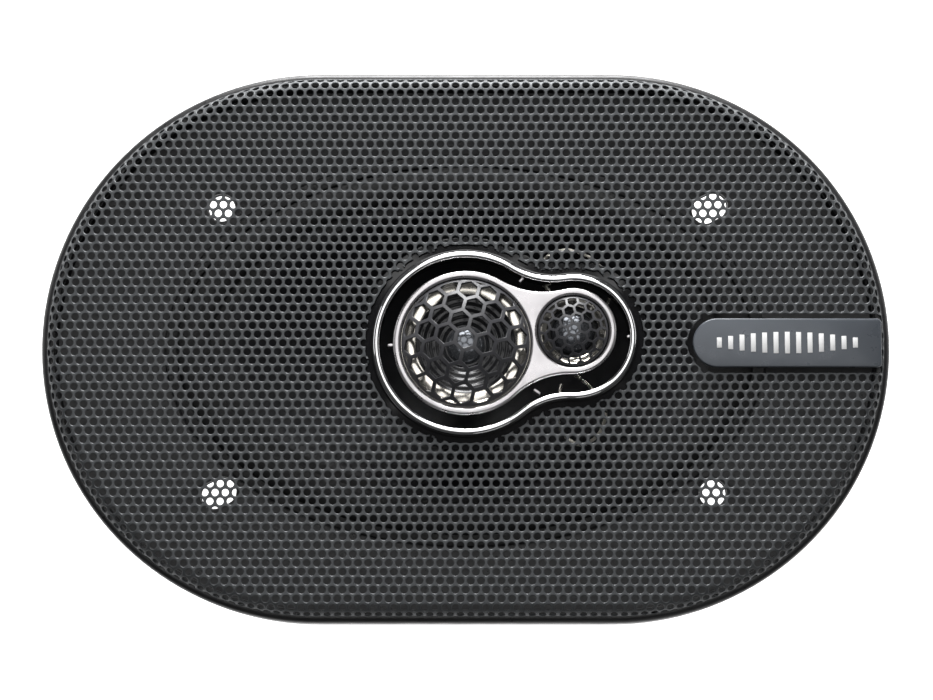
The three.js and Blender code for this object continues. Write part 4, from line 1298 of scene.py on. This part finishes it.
for side, node in ((-1, "tinsel_lead_positive"), (1, "tinsel_lead_negative")):
    LEADS[node] = [
        (side * 15.2, -58, LEDGE + 1), (side * 16, -CROSS_Y - 3.4, CROSS_Z - 2.5),
        (side * 17, -CROSS_Y + 0.6, CROSS_Z), (side * 17, -CROSS_Y + 10, CROSS_Z - 0.5),
        (side * 14, -CROSS_Y + 18, CROSS_Z + 1), (side * 12.5, -NECK_Y, NECK_Z)]


def smooth_route(points, per_span=14):
    """A curve through the points, as the frame's own leads run."""
    p = [Vector(q) * MM for q in points]
    p = [2 * p[0] - p[1], *p, 2 * p[-1] - p[-2]]
    route = []
    for a, b, c, d in zip(p, p[1:], p[2:], p[3:]):
        for i in range(per_span):
            t = i / per_span
            route.append(0.5 * (2 * b + (c - a) * t + (2 * a - 5 * b + 4 * c - d) * t**2
                                + (3 * b - a - 3 * c + d) * t**3))
    return [*route, p[-2]]


class SPEAKER_OT_leads(Builder, bpy.types.Operator):
    """Braided leads of the pod and of the voice coil"""

    bl_idname = "speaker.leads"
    bl_label = "Leads"

    def execute(self, context):
        for node, points in LEADS.items():
            piece = self.braid(node + "_braid", smooth_route(points))
            if node.startswith("tinsel"):
                finished(piece, None, tinsel_braid(), node, angle=50)
                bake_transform(piece)
            else:
                finished(piece, "chassis", tinsel_braid(), node, angle=50)
        return {"FINISHED"}

    def braid(self, name, route):
        """Three strands twisted together along the route."""
        strands, thick, off_centre = 3, LEAD_RADIUS * MM * 0.55, LEAD_RADIUS * MM * 0.42
        points_per_turn = 9
        curve = bpy.data.curves.new(name, "CURVE")
        curve.dimensions = "3D"
        curve.bevel_depth = thick
        curve.bevel_resolution = 1
        curve.use_fill_caps = True
        for strand in range(strands):
            spline = curve.splines.new("POLY")
            spline.points.add(len(route) - 1)
            side = Vector((0, 0, 1))
            for i, point in enumerate(route):
                ahead = route[min(i + 1, len(route) - 1)] - route[max(i - 1, 0)]
                side = (side - side.project(ahead)).normalized()
                angle = 2 * math.pi * (strand / strands + i / points_per_turn)
                out = Matrix.Rotation(angle, 3, ahead.normalized()) @ side
                spline.points[i].co = (*(point + out * off_centre), 1)
        piece = bpy.data.objects.new(name, curve)
        bpy.context.collection.objects.link(piece)
        make_active(piece)
        bpy.ops.object.convert(target="MESH")
        piece = bpy.context.object
        tidy_normals(piece)
        return piece


class SPEAKER_OT_terminals(Builder, bpy.types.Operator):
    """Terminal board, its blades and the two capacitors"""

    bl_idname = "speaker.terminals"
    bl_label = "Terminals"

    def execute(self, context):
        lo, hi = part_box("terminal_board")
        inner = -50.9 * MM
        size = Vector((hi.x - lo.x, inner - lo.y, hi.z - lo.z))
        board = block("board", size, ((lo.x + hi.x) / 2, (lo.y + inner) / 2, (lo.z + hi.z) / 2))
        finished(board, "chassis", phenolic(), "terminal_board")
        for node in ("terminal_positive", "terminal_negative"):
            self.blade(node)
        for node in ("midrange_capacitor", "tweeter_capacitor"):
            self.capacitor(node)
        return {"FINISHED"}

    def blade(self, node):
        lo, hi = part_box(node)
        at, size = (lo + hi) / 2, hi - lo
        blade = block(node + "_tongue", size, at)
        hole_y = lo.y + 3.4 * MM
        cut_away(blade, plug(circle(0.8 * MM, at.x, hole_y, 24), lo.z - MM, hi.z + MM))
        finished(blade, "chassis", zinc_steel(), node)

    def capacitor(self, node):
        lo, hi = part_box(node)
        at, radius, length = (lo + hi) / 2, (hi.z - lo.z) / 2, hi.x - lo.x
        half = length / 2
        profile = [
            (radius * 0.55, -half + 0.5 * MM), (radius * 0.7, -half), (radius * 0.95, -half),
            (radius, -half + 0.7 * MM), (radius, half - 2.4 * MM), (radius * 0.93, half - 1.9 * MM),
            (radius, half - 1.4 * MM), (radius * 0.92, half), (radius * 0.7, half),
        ]
        can = turned(node + "_can", profile, steps=48, closed=False, caps=True)
        can.data.transform(Matrix.Translation(at) @ Matrix.Rotation(math.pi / 2, 4, "Y"))
        finished(can, "chassis", capacitor_sleeve(), node, angle=40)


class SPEAKER_OT_inner_finishes(Builder, bpy.types.Operator):
    """Finishes of the pieces inside that keep their plain shape"""

    bl_idname = "speaker.inner_finishes"
    bl_label = "Inner Finishes"

    def execute(self, context):
        kinds = {
            "zinc_steel": zinc_steel, "ferrite": ferrite, "rubber": rubber, "copper": copper_wire,
            "former_foil": former_film, "foam": foam, "black_steel": black_steel,
            "black_plastic": moulded_plastic, "gloss_black": gloss_plastic,
        }
        slots_of = {s["node"]: s["material_slot"] for s in frame["record"]["subparts"]}
        for name, node in frame["nodes"].items():
            if node.hide_render:
                continue
            node.data.materials.clear()
            node.data.materials.append(kinds[slots_of[name]]())
        return {"FINISHED"}


def bright_card():
    """White card lit from behind, so it reads as plain white under the speaker."""
    card = finish("bright_card", (0.9, 0.9, 0.9), 0.7, grain=60, bump=0.01, vary=0.01)
    shader = card.node_tree.nodes["Principled BSDF"]
    shader.inputs["Emission Color"].default_value = (1, 1, 1, 1)
    shader.inputs["Emission Strength"].default_value = 1.0
    return card


class SPEAKER_OT_stage(Builder, bpy.types.Operator):
    """Pale floor, soft lights and the camera"""

    bl_idname = "speaker.stage"
    bl_label = "Stage"

    def execute(self, context):
        deselect()
        bpy.ops.mesh.primitive_plane_add(size=6, location=(0, 0, CAD_BOUNDS[0][2] - 0.2 * MM))
        floor = bpy.context.object
        floor.name = "floor"
        floor.data.materials.append(bright_card())
        lights = [
            self.light("overhead_softbox", 4.8, 1.0, (0.0, 0.25, 1.45)),
            self.light("top_softbox", 4.0, 0.5, (0.0, 0.62, 0.5)),
            self.light("low_strip", 0.35, 0.5, (0.35, -1.0, 0.5)),
            self.light("far_softbox", 9.0, 0.35, (0.0, 0.7, 0.24)),
            self.light("left_strip", 0.9, 0.5, (-0.9, 0.25, 0.3)),
            self.light("right_strip", 0.7, 0.5, (0.9, 0.25, 0.3)),
        ]
        world = bpy.data.worlds.new("studio")
        bpy.context.scene.world = world
        world.use_nodes = True
        world.node_tree.nodes["Background"].inputs["Color"].default_value = (1, 1, 1, 1)
        world.node_tree.nodes["Background"].inputs["Strength"].default_value = 0.06
        bpy.context.scene.view_settings.view_transform = "Standard"
        self.camera()
        return {"FINISHED"}

    def light(self, name, power, size, place):
        data = bpy.data.lights.new(name, "AREA")
        data.energy, data.size = power, size
        lamp = bpy.data.objects.new(name, data)
        bpy.context.collection.objects.link(lamp)
        lamp.location = place
        target = Vector((0, 0, SHEET_HIGH.z))
        lamp.rotation_euler = (target - Vector(place)).to_track_quat("-Z", "Y").to_euler()
        return lamp

    def camera(self):
        data = bpy.data.cameras.new("camera")
        data.lens = 111  # millimetres
        data.clip_start = 0.01
        camera = bpy.data.objects.new("camera", data)
        bpy.context.collection.objects.link(camera)
        elevation, distance = math.radians(82.5), 1.0
        target = Vector((0.3 * MM, -1.2 * MM, RIM_HIGH.z - 4 * MM))
        back = Vector((0, -math.cos(elevation), math.sin(elevation)))
        camera.location = target + back * distance
        camera.rotation_euler = (-back).to_track_quat("-Z", "Y").to_euler()
        bpy.context.scene.camera = camera


OPERATORS = (
    SPEAKER_OT_perforated_sheet, SPEAKER_OT_rim, SPEAKER_OT_trim_ring, SPEAKER_OT_badge,
    SPEAKER_OT_pod, SPEAKER_OT_guards, SPEAKER_OT_small_drivers, SPEAKER_OT_motor,
    SPEAKER_OT_basket, SPEAKER_OT_base, SPEAKER_OT_cone, SPEAKER_OT_leads,
    SPEAKER_OT_terminals, SPEAKER_OT_inner_finishes, SPEAKER_OT_stage,
)


class SPEAKER_PT_panel(bpy.types.Panel):
    bl_idname = "SPEAKER_PT_panel"
    bl_label = "Coaxial Speaker"
    bl_space_type = "VIEW_3D"
    bl_region_type = "UI"
    bl_category = "Speaker"

    def draw(self, context):
        for group in (context.scene.speaker_sizes, context.scene.speaker_colours):
            for key in group.__annotations__:
                self.layout.prop(group, key)
        for operator in OPERATORS:
            self.layout.operator(operator.bl_idname)


CLASSES = (SpeakerSizes, SpeakerColours, *OPERATORS, SPEAKER_PT_panel)


def register():
    for cls in CLASSES:
        bpy.utils.register_class(cls)
    bpy.types.Scene.speaker_sizes = bpy.props.PointerProperty(type=SpeakerSizes)
    bpy.types.Scene.speaker_colours = bpy.props.PointerProperty(type=SpeakerColours)


def unregister():
    del bpy.types.Scene.speaker_colours
    del bpy.types.Scene.speaker_sizes
    for cls in reversed(CLASSES):
        bpy.utils.unregister_class(cls)


def main():
    register()
    for operator in OPERATORS:
        family, name = operator.bl_idname.split(".")
        getattr(getattr(bpy.ops, family), name)()


if __name__ == "__main__":
    main()
